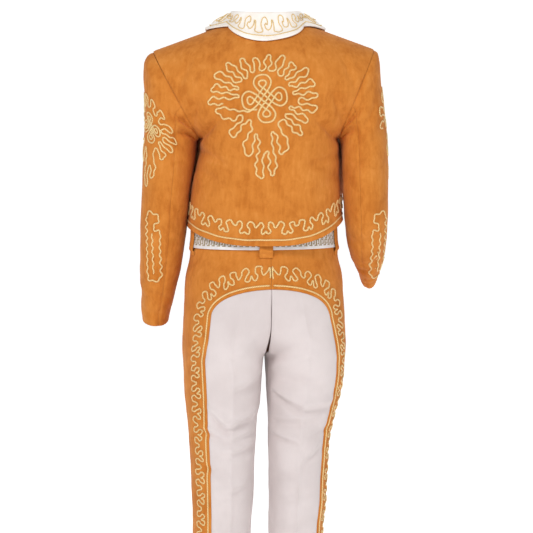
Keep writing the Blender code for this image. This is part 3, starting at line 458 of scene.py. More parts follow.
# Shader maths in plain Python: a Wire is one socket, and sums and products add Math nodes
class Wire:
    def __init__(self, finish, socket):
        self.finish, self.socket = finish, socket

    def math(self, how, first, second=0.0):
        return self.finish.node("ShaderNodeMath", {"operation": how}, {0: first, 1: second})

    def __add__(self, other):
        return self.math("ADD", self, other)

    def __mul__(self, other):
        return self.math("MULTIPLY", self, other)

    def __sub__(self, other):
        return self.math("SUBTRACT", self, other)

    def __rsub__(self, other):
        return self.math("SUBTRACT", other, self)

    def __lt__(self, other):
        return self.math("LESS_THAN", self, other)

    def __gt__(self, other):
        return self.math("GREATER_THAN", self, other)

    __radd__, __rmul__ = __add__, __mul__

    def sine(self):
        return self.math("SINE", self)

    def size(self):
        return self.math("ABSOLUTE", self)

    def part(self):
        return self.math("FRACT", self)

    def most(self, other):
        return self.math("MAXIMUM", self, other)

    def ramp(self, low, high):
        # 0 below low, 1 above high and a soft step between
        return self.finish.node("ShaderNodeMapRange", {"interpolation_type": "SMOOTHSTEP"},
                                {"Value": self, "From Min": low, "From Max": high})


class Finish:
    def __init__(self, name, roughness=0.8, metallic=0.0, sheen=0.0, sheenTint=(1, 1, 1)):
        self.material = bpy.data.materials.new(name)
        self.material.use_nodes = True
        self.tree = self.material.node_tree
        self.shader = self.tree.nodes["Principled BSDF"]
        self.put("Roughness", roughness)
        self.put("Metallic", metallic)
        self.put("Sheen Weight", sheen)
        self.put("Sheen Roughness", 0.45)
        self.put("Sheen Tint", (*sheenTint, 1.0))

    def put(self, socket, value):
        if isinstance(value, Wire):
            self.tree.links.new(value.socket, self.shader.inputs[socket])
        else:
            self.shader.inputs[socket].default_value = value

    def node(self, kind, settings, sockets, out=0):
        # any node: its settings first, then the values or links of its sockets
        node = self.tree.nodes.new(kind)
        for key, value in settings.items():
            setattr(node, key, value)
        for key, value in sockets.items():
            if isinstance(value, Wire):
                self.tree.links.new(value.socket, node.inputs[key])
            else:
                node.inputs[key].default_value = value
        return Wire(self, node.outputs[out])

    def place(self):
        # metres in the suit's own frame
        return self.node("ShaderNodeTexCoord", {}, {}, "Object")

    def cloth(self):
        # metres along the piece's own cloth, as two wires
        uv = self.node("ShaderNodeUVMap", {"uv_map": "cloth"}, {})
        split = self.node("ShaderNodeSeparateXYZ", {}, {0: uv})
        other = Wire(self, split.socket.node.outputs[1])
        return split, other

    def noise(self, scale, detail=3.0, rough=0.55, stretch=None, distortion=0.0):
        where = self.place()
        if stretch:
            where = self.node("ShaderNodeMapping", {}, {"Vector": where, "Scale": stretch})
        return self.node("ShaderNodeTexNoise", {}, {"Vector": where, "Scale": scale, "Detail": detail,
                                                    "Roughness": rough, "Distortion": distortion})

    def mix(self, amount, first, second):
        # the factor of a colour Mix is socket 0, its colours are sockets 6 and 7
        wires = {6: (*first, 1.0) if isinstance(first, tuple) else first,
                 7: (*second, 1.0) if isinstance(second, tuple) else second}
        return self.node("ShaderNodeMix", {"data_type": "RGBA"}, {0: amount, **wires}, 2)

    def bump(self, height, distance, strength=1.0):
        normal = self.node("ShaderNodeBump", {}, {"Height": height, "Distance": distance,
                                                  "Strength": strength})
        self.put("Normal", normal)


def suedeFinish(name, colour, dark, pale):
    # brushed nap: soft blotches where the pile lies another way, streaks along the brush
    # marks, and a fine grain in colour and height
    look = Finish(name, sheen=0.12, sheenTint=(1.0, 0.82, 0.6))
    look.put("Specular IOR Level", 0.25)
    cloud = look.noise(26.0, 4.0, 0.6, distortion=0.6).ramp(0.36, 0.66)
    patch = look.noise(85.0, 3.0, 0.6, stretch=(1.0, 1.0, 0.7), distortion=0.4).ramp(0.38, 0.66)
    brush = look.noise(210.0, 2.0, 0.5, stretch=(1.0, 1.0, 0.25)).ramp(0.3, 0.72)
    grain = look.noise(1500.0, 2.0, 0.6)
    tone = cloud * 0.26 + patch * 0.20 + brush * 0.18 + grain * 0.42
    shade = look.mix(tone.ramp(0.12, 0.62), dark, colour)
    shade = look.mix(tone.ramp(0.55, 0.98), shade, pale)
    look.put("Base Color", shade)
    look.put("Roughness", 0.98 - tone * 0.14)
    look.bump(grain * 0.35 + brush * 0.25 + patch * 0.6, 0.00045, 0.8)
    return look.material


def plainWeave(look, pitch):
    # threads over and under each other, from two crossing waves
    u, v = look.cloth()
    warp = (u * (2 * np.pi / pitch)).sine()
    weft = (v * (2 * np.pi / pitch)).sine()
    return warp * weft * 0.5 + 0.5


def whiteClothFinish():
    look = Finish("white_suiting", sheen=0.12)
    tone = look.noise(18.0, 3.0, 0.5)
    thread = look.noise(700.0, 2.0, 0.5, stretch=(1.0, 1.0, 0.12))
    shade = look.mix(tone.ramp(0.3, 0.7) * 0.7 + thread * 0.3, (0.635, 0.56, 0.55),
                     (0.72, 0.645, 0.635))
    look.put("Base Color", shade)
    look.put("Roughness", 0.86 + tone * 0.08)
    look.bump(plainWeave(look, 0.0011) * 0.4 + thread * 0.6, 0.0001, 0.6)
    return look.material


def creamClothFinish():
    look = Finish("cream_brocade", sheen=0.15)
    tone = look.noise(40.0, 3.0, 0.5)
    shade = look.mix(tone.ramp(0.3, 0.7), (0.90, 0.82, 0.74), (0.96, 0.91, 0.86))
    look.put("Base Color", shade)
    look.put("Roughness", 0.62 + tone * 0.12)
    look.bump(plainWeave(look, 0.0012), 0.00009, 0.6)
    return look.material


def goldCordFinish():
    # two strands twisted round each other: slanting waves round and along the cord; the colour has painted
    # shade in the grooves between the strands
    # deep is the painted shade in the grooves between the strands, bright the gold on their ridges
    bright, deep = (1.0, 0.79, 0.40), (0.66, 0.38, 0.10)
    look = Finish("gold_cord", roughness=0.38, sheen=0.2, sheenTint=(1.0, 0.9, 0.6))
    u, v = look.cloth()
    turn = (u * (2 * np.pi / 0.0024) + v * (2 * np.pi * 2)).sine()
    thread = (u * (2 * np.pi / 0.0007) - v * (2 * np.pi * 5)).sine()
    height = turn * 0.5 + 0.5 + thread * 0.15
    fleck = look.noise(600.0, 2.0, 0.5)
    # painted shade: the colour follows the twist's height and is darker in its grooves; the fleck is the
    # thread's own uneven tone
    look.put("Base Color", look.mix((height * 0.7 + fleck * 0.4).ramp(0.1, 0.9), deep, bright))
    look.put("Metallic", 0.22)
    look.put("Roughness", 0.50 - height * 0.12)
    look.bump(height, 0.0003, 0.8)
    return look.material


def wovenBeltFinish():
    # three rows of a small stepped key, woven in dull gold on white: each bar of the key is a
    # box in a cell that repeats along the strap, and the rows are offset by half a cell
    look = Finish("woven_belt")
    u, v = look.cloth()
    key = {"repeat": 0.0084, "rows": 3, "tall": 0.0098, "plain": 0.0042, "line": 0.055}
    bars = [(0.0, 0.5, 0.10, 0.86), (0.25, 0.88, 0.25, 0.08), (0.50, 0.62, 0.10, 0.34),
            (0.36, 0.32, 0.14, 0.08), (0.75, 0.10, 0.25, 0.08), (0.92, 0.5, 0.10, 0.4)]
    row = (v - key["plain"]) * (1 / key["tall"])
    cellV = row.part()
    cellU = (u * (1 / key["repeat"]) + (row - cellV) * 0.5).part()
    mask = None
    for midU, midV, halfU, halfV in bars:
        bar = (((cellU - midU).size() < halfU) * ((cellV - midV).size() < halfV))
        mask = bar if mask is None else mask.most(bar)
    inside = (row > 0.0) * (row < float(key["rows"]))
    mask = mask * inside
    thread = plainWeave(look, 0.0009)
    tone = look.noise(60.0, 3.0, 0.5)
    ground = look.mix(tone.ramp(0.3, 0.7), (0.74, 0.71, 0.70), (0.84, 0.82, 0.81))
    look.put("Base Color", look.mix(mask * 0.95, ground, (0.32, 0.24, 0.11)))
    look.put("Roughness", 0.8 - mask * 0.3)
    look.bump(thread * 0.6 + mask * 0.8, 0.0003, 0.8)
    return look.material


def plateFinish():
    look = Finish("silver_plate", roughness=0.3, metallic=1.0)
    haze = look.noise(220.0, 3.0, 0.6)
    look.put("Base Color", look.mix(haze.ramp(0.3, 0.8), (0.55, 0.53, 0.50), (0.78, 0.76, 0.72)))
    look.put("Roughness", 0.24 + haze * 0.22)
    return look.material


tanSuede = suedeFinish("tan_suede", (0.61, 0.208, 0.030), (0.49, 0.145, 0.016),
                       (0.70, 0.27, 0.052))
whiteCloth = whiteClothFinish()
creamCloth = creamClothFinish()
goldCord = goldCordFinish()
wovenBelt = wovenBeltFinish()
silverPlate = plateFinish()
print("finishes ready")


# Jacket
jacket = {
    "across": 56, "low": 70, "middle": 34, "high": 46, "grooveDeep": 0.9, "grooveWide": 2.6,
    "steady": 0.07,          # share beside a seam where the creases die out
    # a standing fold of the front below each armpit: its place, size and height
    "fold": {"share": 0.80, "wide": 0.1, "long": 0.6, left: (0.8, 13.5), right: (0.62, 12.5)},
}
frontFolds = [
    (-110, -120, -82, -74, 9, -1.8), (-96, -164, -60, -180, 9, -1.4), (108, -116, 84, -80, 9, -1.8),
    (104, -168, 74, -182, 9, -1.4), (-90, -230, -50, -244, 11, -1.0), (60, -226, 96, -240, 11, -1.0),
]


def sink(outer, normals, edges, deep, wide):
    # the cloth dips beside a seam: a bell whose middle lies on the edge
    gone = {}
    for axis, first, last in ((1, "left", "right"), (0, "low", "high")):
        steps = np.linalg.norm(np.diff(outer, axis=axis), axis=-1)
        run = np.insert(np.cumsum(steps, axis=axis), 0, 0, axis=axis)
        gone[first], gone[last] = run, np.take(run, [-1], axis=axis) - run
    drop = np.zeros(outer.shape[:2])
    for edge in edges:
        drop = np.maximum(drop, deep * np.exp(-(gone[edge] / wide) ** 2))
    return outer - normals * drop[..., None]


def jacketCloth(side, face, share, level):
    # the plain form, with its creases moved in or out square to an upright ellipse
    points = jacketPoint(side, face, share, level)
    x, z = points[..., 0], points[..., 2]
    push = creases(x, z, backFolds if face < 0 else frontFolds)
    if face > 0:
        fold = jacket["fold"]
        at, high = fold[side]
        push = push + high * np.exp(-((share - fold["share"]) / fold["wide"]) ** 2
                                    - ((level - at) / fold["long"]) ** 2)
    push = push + ripple(x, z, 3 if face < 0 else 4, 0.9)
    hold = np.clip((1 - share) / jacket["steady"], 0, 1) * np.clip((3 - level) / 0.25, 0, 1)
    out = unit(stack(x / 110 ** 2, points[..., 1] / 87 ** 2, 0 * x))
    return points + out * (push * hold)[..., None]


jacketLevels = np.concatenate([np.linspace(0, 1, jacket["low"])[:-1],
                               np.linspace(1, 2, jacket["middle"])[:-1],
                               np.linspace(2, 3, jacket["high"])])


def armholeColumn(normals, side, face, column):
    # beside the armhole the wall stands square to the ring, as the sleeve's wall does
    high = jacketLevels >= 1
    turned = armholeNormal(side, (180 - 90 * (jacketLevels[high] - 1)) * deg)
    normals[high, column] = turned * np.array([1, -face, 1])
    normals[~high, column] = (side, 0, 0)


def addJacket():
    deep, wide, thick = jacket["grooveDeep"], jacket["grooveWide"], body["suede"]
    half = np.linspace(0, 1, jacket["across"])
    leftHalf, rightHalf = [jacketCloth(side, back, half[None], jacketLevels[:, None])
                           for side in (left, right)]
    outer = np.concatenate([leftHalf[:, ::-1], rightHalf[:, 1:]], axis=1)
    normals = gridNormals(outer, np.array([0, -1, 0]))
    armholeColumn(normals, left, back, 0)
    armholeColumn(normals, right, back, -1)
    outer = sink(outer, normals, ("left", "right", "high"), deep, wide)
    outer, inner = pullIn(outer, outer - thick * normals, ("left", "right", "high"))
    addWall("jacket_back_cloth", outer, inner, tanSuede, "jacket_back")
    for side in (left, right):
        share = body["frontShare"] + (1 - body["frontShare"]) * half
        outer = jacketCloth(side, front, share[None], jacketLevels[:, None])
        normals = gridNormals(outer, np.array([0, 1, 0]))
        armholeColumn(normals, side, front, -1)
        outer = sink(outer, normals, ("right", "high"), deep, wide)
        outer, inner = pullIn(outer, outer - thick * normals, ("right", "high"))
        node = "jacket_front_" + sideWord[side]
        addWall(node + "_cloth", outer, inner, tanSuede, node)


# Sleeves: a top and an under piece each, whose walls share the whole ring's directions
sleeveCut = {"rings": 150, "top": 84, "under": 62}


def sleeveFrame(side, ring, angle):
    # points and outward directions, from small steps down and round the sleeve
    small = 0.02
    points = sleevePoint(side, ring, angle)
    across = sleevePoint(side, ring, angle + small) - sleevePoint(side, ring, angle - small)
    low, high = np.clip(ring + small, 0, 16), np.clip(ring - small, 0, 16)
    along = sleevePoint(side, low, angle) - sleevePoint(side, high, angle)
    normals = unit(np.cross(across, along))
    return points, normals * side


def addSleeves():
    for side in (left, right):
        ring = np.linspace(0, 16, sleeveCut["rings"])[:, None]
        hole = armhole[side]
        run = unit(np.array(hole["tip"]) - np.array(hole["pit"]))
        away = np.array([side * run[1], 0.0, -run[0]]) * body["seam"] / 2
        for part, start, stop in (("top", foreSeam - 2 * np.pi, hindSeam),
                                  ("under", hindSeam, foreSeam)):
            angle = np.linspace(start, stop, sleeveCut[part])[None]
            outer, normals = sleeveFrame(side, ring, angle)
            normals[0] = armholeNormal(side, angle[0])
            outer = sink(outer, normals, ("left", "right", "low"), jacket["grooveDeep"],
                         jacket["grooveWide"])
            outer, inner = pullIn(outer, outer - body["suede"] * normals, ("left", "right"))
            outer[0] += away
            inner[0] += away
            node = "sleeve_" + sideWord[side] + "_" + part
            addWall(node + "_cloth", outer, inner, tanSuede, node)


# Trousers
def legFrame(side, share, z):
    # points and outward directions, from small steps round and up the leg
    small, rise = 0.003, 0.6
    near = np.clip(share, small, 1 - small)
    points = legPoint(side, legAngle(side, share, z), z)
    across = (legPoint(side, legAngle(side, near + small, z), z)
              - legPoint(side, legAngle(side, near - small, z), z))
    up = (legPoint(side, legAngle(side, near, z + rise), z + rise)
          - legPoint(side, legAngle(side, near, z - rise), z - rise))
    return points, side * unit(np.cross(across, up))


trouserCut = {"strip": 40, "panel": 52, "rows": 170, "arch": 44, "grooveDeep": 0.7, "grooveWide": 2.2}


def archLine(side, count):
    # a quarter of a squarish ellipse, from the arch's foot to the middle back
    turn = np.linspace(0, 90, count + 1) * deg
    across = np.cos(turn) ** (2 / trousers["archRound"])
    across[-1] = 0.0
    rise = np.sin(turn) ** (2 / trousers["archRound"])
    foot = trousers["archFoot"]
    return edgeShare(side, foot) * across, foot + (trousers["archTop"] - foot) * rise


def addPanel(name, node, side, share, z, thick, material, edges, gap=0.15):
    outer, normals = legFrame(side, share, z)
    outer = sink(outer, normals, edges, trouserCut["grooveDeep"], trouserCut["grooveWide"])
    outer, inner = pullIn(outer, outer - thick * normals, edges, gap)
    addWall(name, outer, inner, material, node)


def addTrousers():
    lowZ = np.linspace(trousers["hem"], trousers["archFoot"], trouserCut["rows"])
    for side in (left, right):
        word = sideWord[side]
        # the tan strip runs up the outside of the leg and into the yoke over the arch
        archShare, archZ = archLine(side, trouserCut["arch"])
        inShare = np.concatenate([edgeShare(side, lowZ), archShare[1:]])
        inZ = np.concatenate([lowZ, archZ[1:]])
        corner = trouserCut["arch"] // 2
        rest = trouserCut["arch"] - corner
        outShare = np.concatenate([np.full(len(lowZ) + corner, 0.5), np.linspace(0.5, 0, rest + 1)[1:]])
        outZ = np.concatenate([lowZ, np.linspace(lowZ[-1], trousers["waist"], corner + 1)[1:],
                               np.full(rest, trousers["waist"])])
        t = np.linspace(0, 1, trouserCut["strip"])[None]
        addPanel("trouser_back_" + word + "_cloth", "trouser_back_" + word, side,
                 inShare[:, None] + (outShare - inShare)[:, None] * t,
                 inZ[:, None] + (outZ - inZ)[:, None] * t, trousers["suede"], tanSuede,
                 ("left", "right", "high"))
        # the white back panel: its columns run up to the arch
        column = np.linspace(0, 1, trouserCut["panel"])[None]
        turn = np.arccos(column ** (trousers["archRound"] / 2))
        archAt = trousers["archFoot"] + (trousers["archTop"] - trousers["archFoot"]) \
            * np.sin(turn) ** (2 / trousers["archRound"])
        lift = np.clip((lowZ[:, None] + 470) / 65, 0, 1)
        z = lowZ[:, None] + (archAt - trousers["archFoot"]) * lift ** 1.5
        share = edgeShare(side, lowZ)[:, None] * column
        addPanel("leg_panel_back_" + word + "_cloth", "leg_panel_back_" + word, side, share, z,
                 trousers["white"], whiteCloth, ("left", "right", "high"), 0.24)
        # front strip and front panel
        frontZ = np.concatenate([lowZ, np.linspace(lowZ[-1], trousers["frontTop"], 34)[1:]])
        low = frontShareAt(side, frontZ)
        inShare = np.concatenate([low, np.linspace(low[-1], 1.0, 20)[1:]])
        inZ = np.concatenate([frontZ, np.full(19, trousers["frontTop"])])
        outShare = np.concatenate([np.full(len(frontZ), 0.5), np.linspace(0.5, 1.0, 20)[1:]])
        outZ = np.concatenate([lowZ, np.linspace(lowZ[-1], trousers["waist"], 34)[1:],
                               np.full(19, trousers["waist"])])
        addPanel("trouser_front_" + word + "_cloth", "trouser_front_" + word, side,
                 inShare[:, None] + (outShare - inShare)[:, None] * t,
                 inZ[:, None] + (outZ - inZ)[:, None] * t, trousers["suede"], tanSuede,
                 ("left", "right", "high"))
        share = low[:, None] + (1 - low[:, None]) * column
        addPanel("leg_panel_front_" + word + "_cloth", "leg_panel_front_" + word, side, share,
                 np.repeat(frontZ[:, None], column.shape[1], axis=1), trousers["white"], whiteCloth,
                 ("left", "right", "high"), 0.24)


addJacket()
addSleeves()
print("jacket and sleeves ready")
addTrousers()
print("trousers ready")


# Collar
collarForm = {
    # stations from the middle of the back over the shoulder to the front point
    "at": [0.0, 0.2, 0.36, 0.52, 0.74, 1.0],
    "foldX": [0.0, 26.0, 41.0, 47.0, 47.0, 39.0],
    "foldY": [-48.0, -42.0, -26.0, -2.0, 32.0, 58.0],
    "foldZ": [21.0, 22.0, 24.0, 25.0, 10.0, -24.0],
    "share": [0.0, 0.26, 0.43, 0.56, 0.56, 0.46],
    "over": [-0.36, -0.33, -0.18, 0.02, 0.36, 0.86],
    "turn": 0.52, "rise": 14.0, "clearBack": 1.2, "clearFront": 3.2, "thick": 2.4,
    "fall": [0.45, 0.72, 1.0], "columns": 80, "rows": 72,
}


def offJacket(side, share, over, clear):
    # the place this far off the jacket; over is how far below the shoulder, back below 0
    small, spots = 0.02, []
    level = 3 - np.abs(over)
    for face in (back, front):
        here = jacketPoint(side, face, share, level)
        beside = jacketPoint(side, face, share + small, level)
        below = jacketPoint(side, face, share, level - small)
        square = unit(np.cross(beside - here, here - below))
        square = square * np.sign(square @ np.array([0, face, 0.5]))[..., None]
        spots.append(here + square * np.asarray(clear)[..., None])
    return np.where((over < 0)[..., None], spots[0], spots[1])


def neckLine(side, at):
    # the neckline's share and point, from the middle back (0) round to the front edge (1)
    turn = collarForm["turn"]
    backShare = body["neckShare"] * np.clip(at / turn, 0, 1)
    drop = (body["neckShare"] - body["frontShare"]) * np.clip((at - turn) / (1 - turn), 0, 1)
    rear = stack(*topEdge(side, back, backShare))
    fore = stack(*topEdge(side, front, body["neckShare"] - drop))
    behind = at <= turn
    points = np.where(behind[..., None], rear, fore) * [side, 1, 1]
    return np.where(behind, backShare, body["neckShare"] - drop), points


def collarCage(side, at):
    # the collar's profile at each station: foot, stand, turned fold and the fall on the jacket
    row = {key: curve(collarForm["at"], collarForm[key], at)
           for key in ("foldX", "foldY", "foldZ", "share", "over")}
    fold = stack(side * row["foldX"], row["foldY"], row["foldZ"])
    neckShare, neck = neckLine(side, at)
    fall = []
    for t in collarForm["fall"]:
        over = row["over"] * t
        clear = collarForm["thick"] / 2 + collarForm["rise"] * (1 - t) ** 1.6
        clear = clear + np.where(over > 0, collarForm["clearFront"], collarForm["clearBack"])
        fall.append(offJacket(side, neckShare + (row["share"] - neckShare) * t, over, clear))
    out = unit((fall[-1] - fold) * [1, 1, 0])
    up = np.array([0.0, 0.0, 1.0])
    foot = neck + up * 1.9 - out * 1.2
    stand = foot + (fold - foot) * 0.7 - out * 0.5
    return np.stack([foot, stand, fold - out * 1.2 - up * 0.6, fold + out * 1.6 + up * 0.9,
                     fold + out * 5.0 - up * 1.6, *fall])


def collarPoint(at, down):
    # at runs from the left front point (-1) round the back (0) to the right one (1); down
    # runs from the foot (0) over the fold (near 3) to the outer edge (7), on a smooth line
    # through the profile's points
    at, down = np.broadcast_arrays(at, down)
    sides = [collarCage(side, np.abs(at)) for side in (left, right)]
    cage = np.where((at < 0)[None, ..., None], sides[0], sides[1])
    k = np.clip(down.astype(int), 0, 6)
    t = (down - k)[..., None]

    def knot(which):
        which = np.clip(which, 0, 7)
        return np.take_along_axis(cage, which[None, ..., None], axis=0)[0]

    a, b, c, d = knot(k - 1), knot(k), knot(k + 1), knot(k + 2)
    smooth = 0.5 * (2 * b + (c - a) * t + (2 * a - 5 * b + 4 * c - d) * t ** 2
                    + (3 * b - 3 * c + d - a) * t ** 3)
    lift = 0.5 * np.sin(at * 21) * np.clip((down - 5) / 2, 0, 1)
    return smooth + np.array([0, 0, 1.0]) * lift[..., None]


def addCollar():
    at = np.linspace(-1, 1, 2 * collarForm["columns"] + 1)[None]
    down = np.linspace(0, 7, collarForm["rows"])[:, None]
    path = collarPoint(at, down)
    normals = gridNormals(path, np.array([0, 0, 0.0]))
    if normals[-1, collarForm["columns"], 1] > 0:
        normals = -normals
    edge = np.minimum(np.minimum(down, 7 - down) / 0.25, (1 - np.abs(at)) / 0.012)
    half = collarForm["thick"] / 2 * np.sqrt(np.clip(edge, 0.08, 1))[..., None] * normals
    addWall("collar_cloth", path + half, path - half, creamCloth, "collar")


# Waist: everything on the belt line is the trousers' own section, moved out
belt = {
    "low": -310.0, "high": -272.0, "thick": 3.0, "lap": 46.0 * deg, "ease": 30.0 * deg,
    "rows": 15, "columns": 420, "start": 183.0 * deg, "radius": 92.0,
}
waistTop = -268.0
loops = {
    # degrees round the waist from the middle back, half width
    "belt_loop_back": (-3.4, 7.2), "belt_loop_side_left": (-78.0, 7.0),
    "belt_loop_side_right": (68.0, 7.0), "belt_loop_front_left": (-141.0, 7.0),
    "belt_loop_front_right": (141.0, 7.0),
}
loopPath = {
    "z": [-266.5, -268.5, -271.2, -291.0, -311.0, -316.5, -321.0],
    "off": [0.4, 0.6, 4.0, 4.4, 4.0, 0.7, 0.4],
}
buckle = {"wide": 31.0, "tall": 24.0, "thick": 2.6, "dome": 2.0, "border": 0.84, "rope": 0.8,
          "waistHalf": 105.0}
fly = {"top": -311.0, "foot": -388.0, "wide": 30.0, "off": 1.0}


def waistPoint(angle, z, off):
    # angle 0 is the middle back and grows to the wearer's right; off is square to the cloth
    angle, z, off = np.broadcast_arrays(angle, z, off)
    turn, small = np.abs(angle), 0.002
    onRight = (angle >= 0)[..., None]

    def ring(step):
        return np.where(onRight, legPoint(right, turn + step, z, True),
                        legPoint(left, turn + step, z, True))

    run = unit(ring(small) - ring(-small)) * np.where(onRight, 1.0, -1.0)
    square = unit(np.cross(run, np.array([0.0, 0.0, 1.0])))
    return ring(0.0) + square * off[..., None]


def around(angle):
    return (angle + np.pi) % (2 * np.pi) - np.pi


def addWaist():
    angle = np.linspace(-179.8, 179.8, 260)[None] * deg
    z = np.linspace(trousers["waist"] + 0.15, waistTop, 12)[:, None]
    addWall("waistband_cloth", waistPoint(angle, z, 0.0), waistPoint(angle, z, -trousers["suede"]),
            tanSuede, "waistband")
    turn = np.linspace(0, 2 * np.pi + belt["lap"], belt["columns"])
    over = 1 - np.clip((turn - belt["lap"]) / belt["ease"], 0, 1)
    off = body["seam"] * 1.5 + (belt["thick"] + body["seam"] * 2) * over[None]
    v = np.linspace(-1, 1, belt["rows"])[:, None]
    z = (belt["low"] + belt["high"]) / 2 + (belt["high"] - belt["low"]) / 2 * v
    edge = belt["thick"] * 0.36 * np.abs(v) ** 9
    angle = around(belt["start"] + turn)[None]
    strap = addWall("belt_strap_woven", waistPoint(angle, z, off + belt["thick"] - edge),
                    waistPoint(angle, z, off + edge), wovenBelt, "belt_strap")
    for name, (degrees, half) in loops.items():
        s = np.linspace(0, 6, 46)
        pathZ = curve(np.arange(7), loopPath["z"], s)
        pathOff = curve(np.arange(7), loopPath["off"], s)
        lap = belt["thick"] + body["seam"] * 2 if "front" in name else 0.0
        off = (pathOff + lap * np.clip((pathOff - 0.7) / 3, 0, 1))[:, None]
        t = np.linspace(-1, 1, 17)[None]
        edge = 0.5 * np.abs(t) ** 6
        at = degrees * deg + half / belt["radius"] * t
        addWall(name + "_cloth", waistPoint(at, pathZ[:, None], off + trousers["suede"] - edge),
                waistPoint(at, pathZ[:, None], off + edge * 0.4), tanSuede, name)
    # the fly's flap lies on the right front, with a round foot
    z = np.linspace(fly["foot"], fly["top"], 60)[:, None]
    roundFoot = np.sqrt(np.clip((z - fly["foot"] + 4) / 40, 0.15, 1))
    share = 1.0 - 0.004 - 0.5 * fly["wide"] / 150.0 * np.linspace(0, 1, 24)[None] * roundFoot
    points, normals = legFrame(right, share, z)
    addWall("fly_flap_cloth", points + normals * (fly["off"] + trousers["suede"]),
            points + normals * fly["off"], tanSuede, "fly_flap")


def addBuckle():
    # a domed oval plate with a raised rope border, fastened over the strap's front
    u, v = np.linspace(-1, 1, 97)[None], np.linspace(-1, 1, 73)[:, None]
    x = buckle["wide"] * u * np.sqrt(1 - v ** 2 / 2)
    z = (belt["low"] + belt["high"]) / 2 + buckle["tall"] * v * np.sqrt(1 - u ** 2 / 2)
    angle = np.pi - np.arcsin(np.abs(x) / buckle["waistHalf"])
    rear = waistPoint(np.where(x >= 0, angle, -angle), belt["low"], belt["thick"] * 2 + body["seam"] * 5)
    rear[..., 2] = z
    rim = np.maximum(np.abs(u), np.abs(v))
    twist = 0.7 + 0.3 * np.sin(34 * np.arctan2(v, u) + 30 * rim)
    border = np.exp(-((rim - buckle["border"]) / 0.06) ** 2) * buckle["rope"] * twist
    high = buckle["thick"] * np.sqrt(np.clip((1 - rim) / 0.05, 0.15, 1)) + buckle["dome"] * (1 - rim ** 2)
    addWall("buckle_plate_polished", rear + stack(0, 1, 0) * (high + border)[..., None], rear,
            silverPlate, "buckle_plate")


addCollar()
addWaist()
addBuckle()
print("collar and waist ready")


# Cord embroidery: every line is drawn flat in millimetres, laid on the cloth and made a tube
cord = {"radius": 1.3, "step": 1.3, "sides": 6, "flat": 0.8, "sunk": 0.45}


def runLength(line):
    return np.insert(np.cumsum(np.linalg.norm(np.diff(line, axis=0), axis=-1)), 0, 0)


def evenly(line, step, *others):
    # the same line with points a step apart, and whatever else belongs to its points
    run = runLength(line)
    at = np.linspace(0, run[-1], max(int(run[-1] / step), 3) + 1)
    made = [np.stack([np.interp(at, run, column) for column in each.T], axis=-1)
            for each in (line, *others)]
    return made if others else made[0]


def softened(line, reach):
    # each point becomes the mean of those within reach of it; the ends stay
    padded = np.pad(line, ((reach, reach), (0, 0)), mode="reflect", reflect_type="odd")
    for _ in range(2):
        line = np.mean([padded[k:k + len(line)] for k in range(2 * reach + 1)], axis=0)
        padded = np.pad(line, ((reach, reach), (0, 0)), mode="reflect", reflect_type="odd")
    return line


def wavy(line, high, long, seed):
    # the line is rounded off, then given a small wave square to it, whose length drifts
    line = softened(evenly(line, 0.8), 2)
    run = runLength(line)
    ahead = unit(np.gradient(line, axis=0))
    square = np.stack([-ahead[:, 1], ahead[:, 0]], axis=-1)
    draw = np.random.default_rng(seed)
    drift = draw.uniform(0, 6.28) + 1.1 * np.sin(run / 23 + draw.uniform(0, 6.28))
    size = high * (0.75 + 0.25 * np.sin(run / 17 + draw.uniform(0, 6.28)))
    ends = np.clip(np.minimum(run, run[-1] - run) / 6, 0, 1)
    return softened(line + square * (size * ends * np.sin(2 * np.pi * run / long + drift))[:, None], 1)


def meander(count, bulge, seed, uneven):
    # loops side by side: along = t + bulge sin 4 pi t, across = sin 2 pi t, where each loop's
    # reach is cut by a share drawn for it
    t = np.linspace(0, count, count * 64 + 1)
    draw = np.random.default_rng(seed)
    cut = 1 - uneven * draw.random(2 * count + 2)
    size = np.interp(t, (np.arange(2 * count + 2) - 0.5) / 2, cut)
    across = size * np.sin(2 * np.pi * t)
    along = t + bulge * np.sin(4 * np.pi * t)
    return along, across


def tube(points, normals, radius, flat=1.0):
    # rings of a round or flattened section, square to the line and standing on the cloth
    ahead = unit(np.gradient(points, axis=0))
    across = unit(np.cross(ahead, normals))
    upright = unit(np.cross(across, ahead))
    turn = np.arange(cord["sides"]) * 2 * np.pi / cord["sides"]
    ring = (np.cos(turn)[None, :, None] * across[:, None]
            + flat * np.sin(turn)[None, :, None] * upright[:, None])
    return points[:, None] + radius * ring


def addCords(name, lines, material, radius=None, flat=None):
    # lines holds points on the cloth and the cloth's outward directions; all of them become
    # one mesh of closed tubes, each with a round cap at both ends
    radius = radius or cord["radius"]
    flat = flat or cord["flat"]
    sides, points, faces, uvs, start = cord["sides"], [], [], [], 0
    for line, normals in lines:
        line, normals = evenly(line, cord["step"], normals)
        line = line + unit(normals) * radius * flat * cord["sunk"]
        rings = tube(line, unit(normals), radius, flat)
        rings[0] = line[0] + (rings[0] - line[0]) * 0.3
        rings[-1] = line[-1] + (rings[-1] - line[-1]) * 0.3
        rows = len(line)
        number = np.arange(rows * sides).reshape(rows, sides) + start
        quads = np.stack([number[:-1], number[1:], np.roll(number, -1, 1)[1:],
                          np.roll(number, -1, 1)[:-1]], axis=-1).reshape(-1, 4)
        halves = [(0, 1, 2, 3), (0, 3, 4, 5)]
        caps = [number[0][list(half)] for half in halves]
        caps += [number[-1][list(half)][::-1] for half in halves]
        faces += [quads, np.array(caps)]
        points.append(rings.reshape(-1, 3))
        run = runLength(line) * mm
        uvs.append(np.stack(np.broadcast_arrays(run[:, None], np.arange(sides)[None] / sides),
                            axis=-1).reshape(-1, 2))
        start += rows * sides
    meshFrom(name, np.concatenate(points), np.concatenate(faces), np.concatenate(uvs), material)


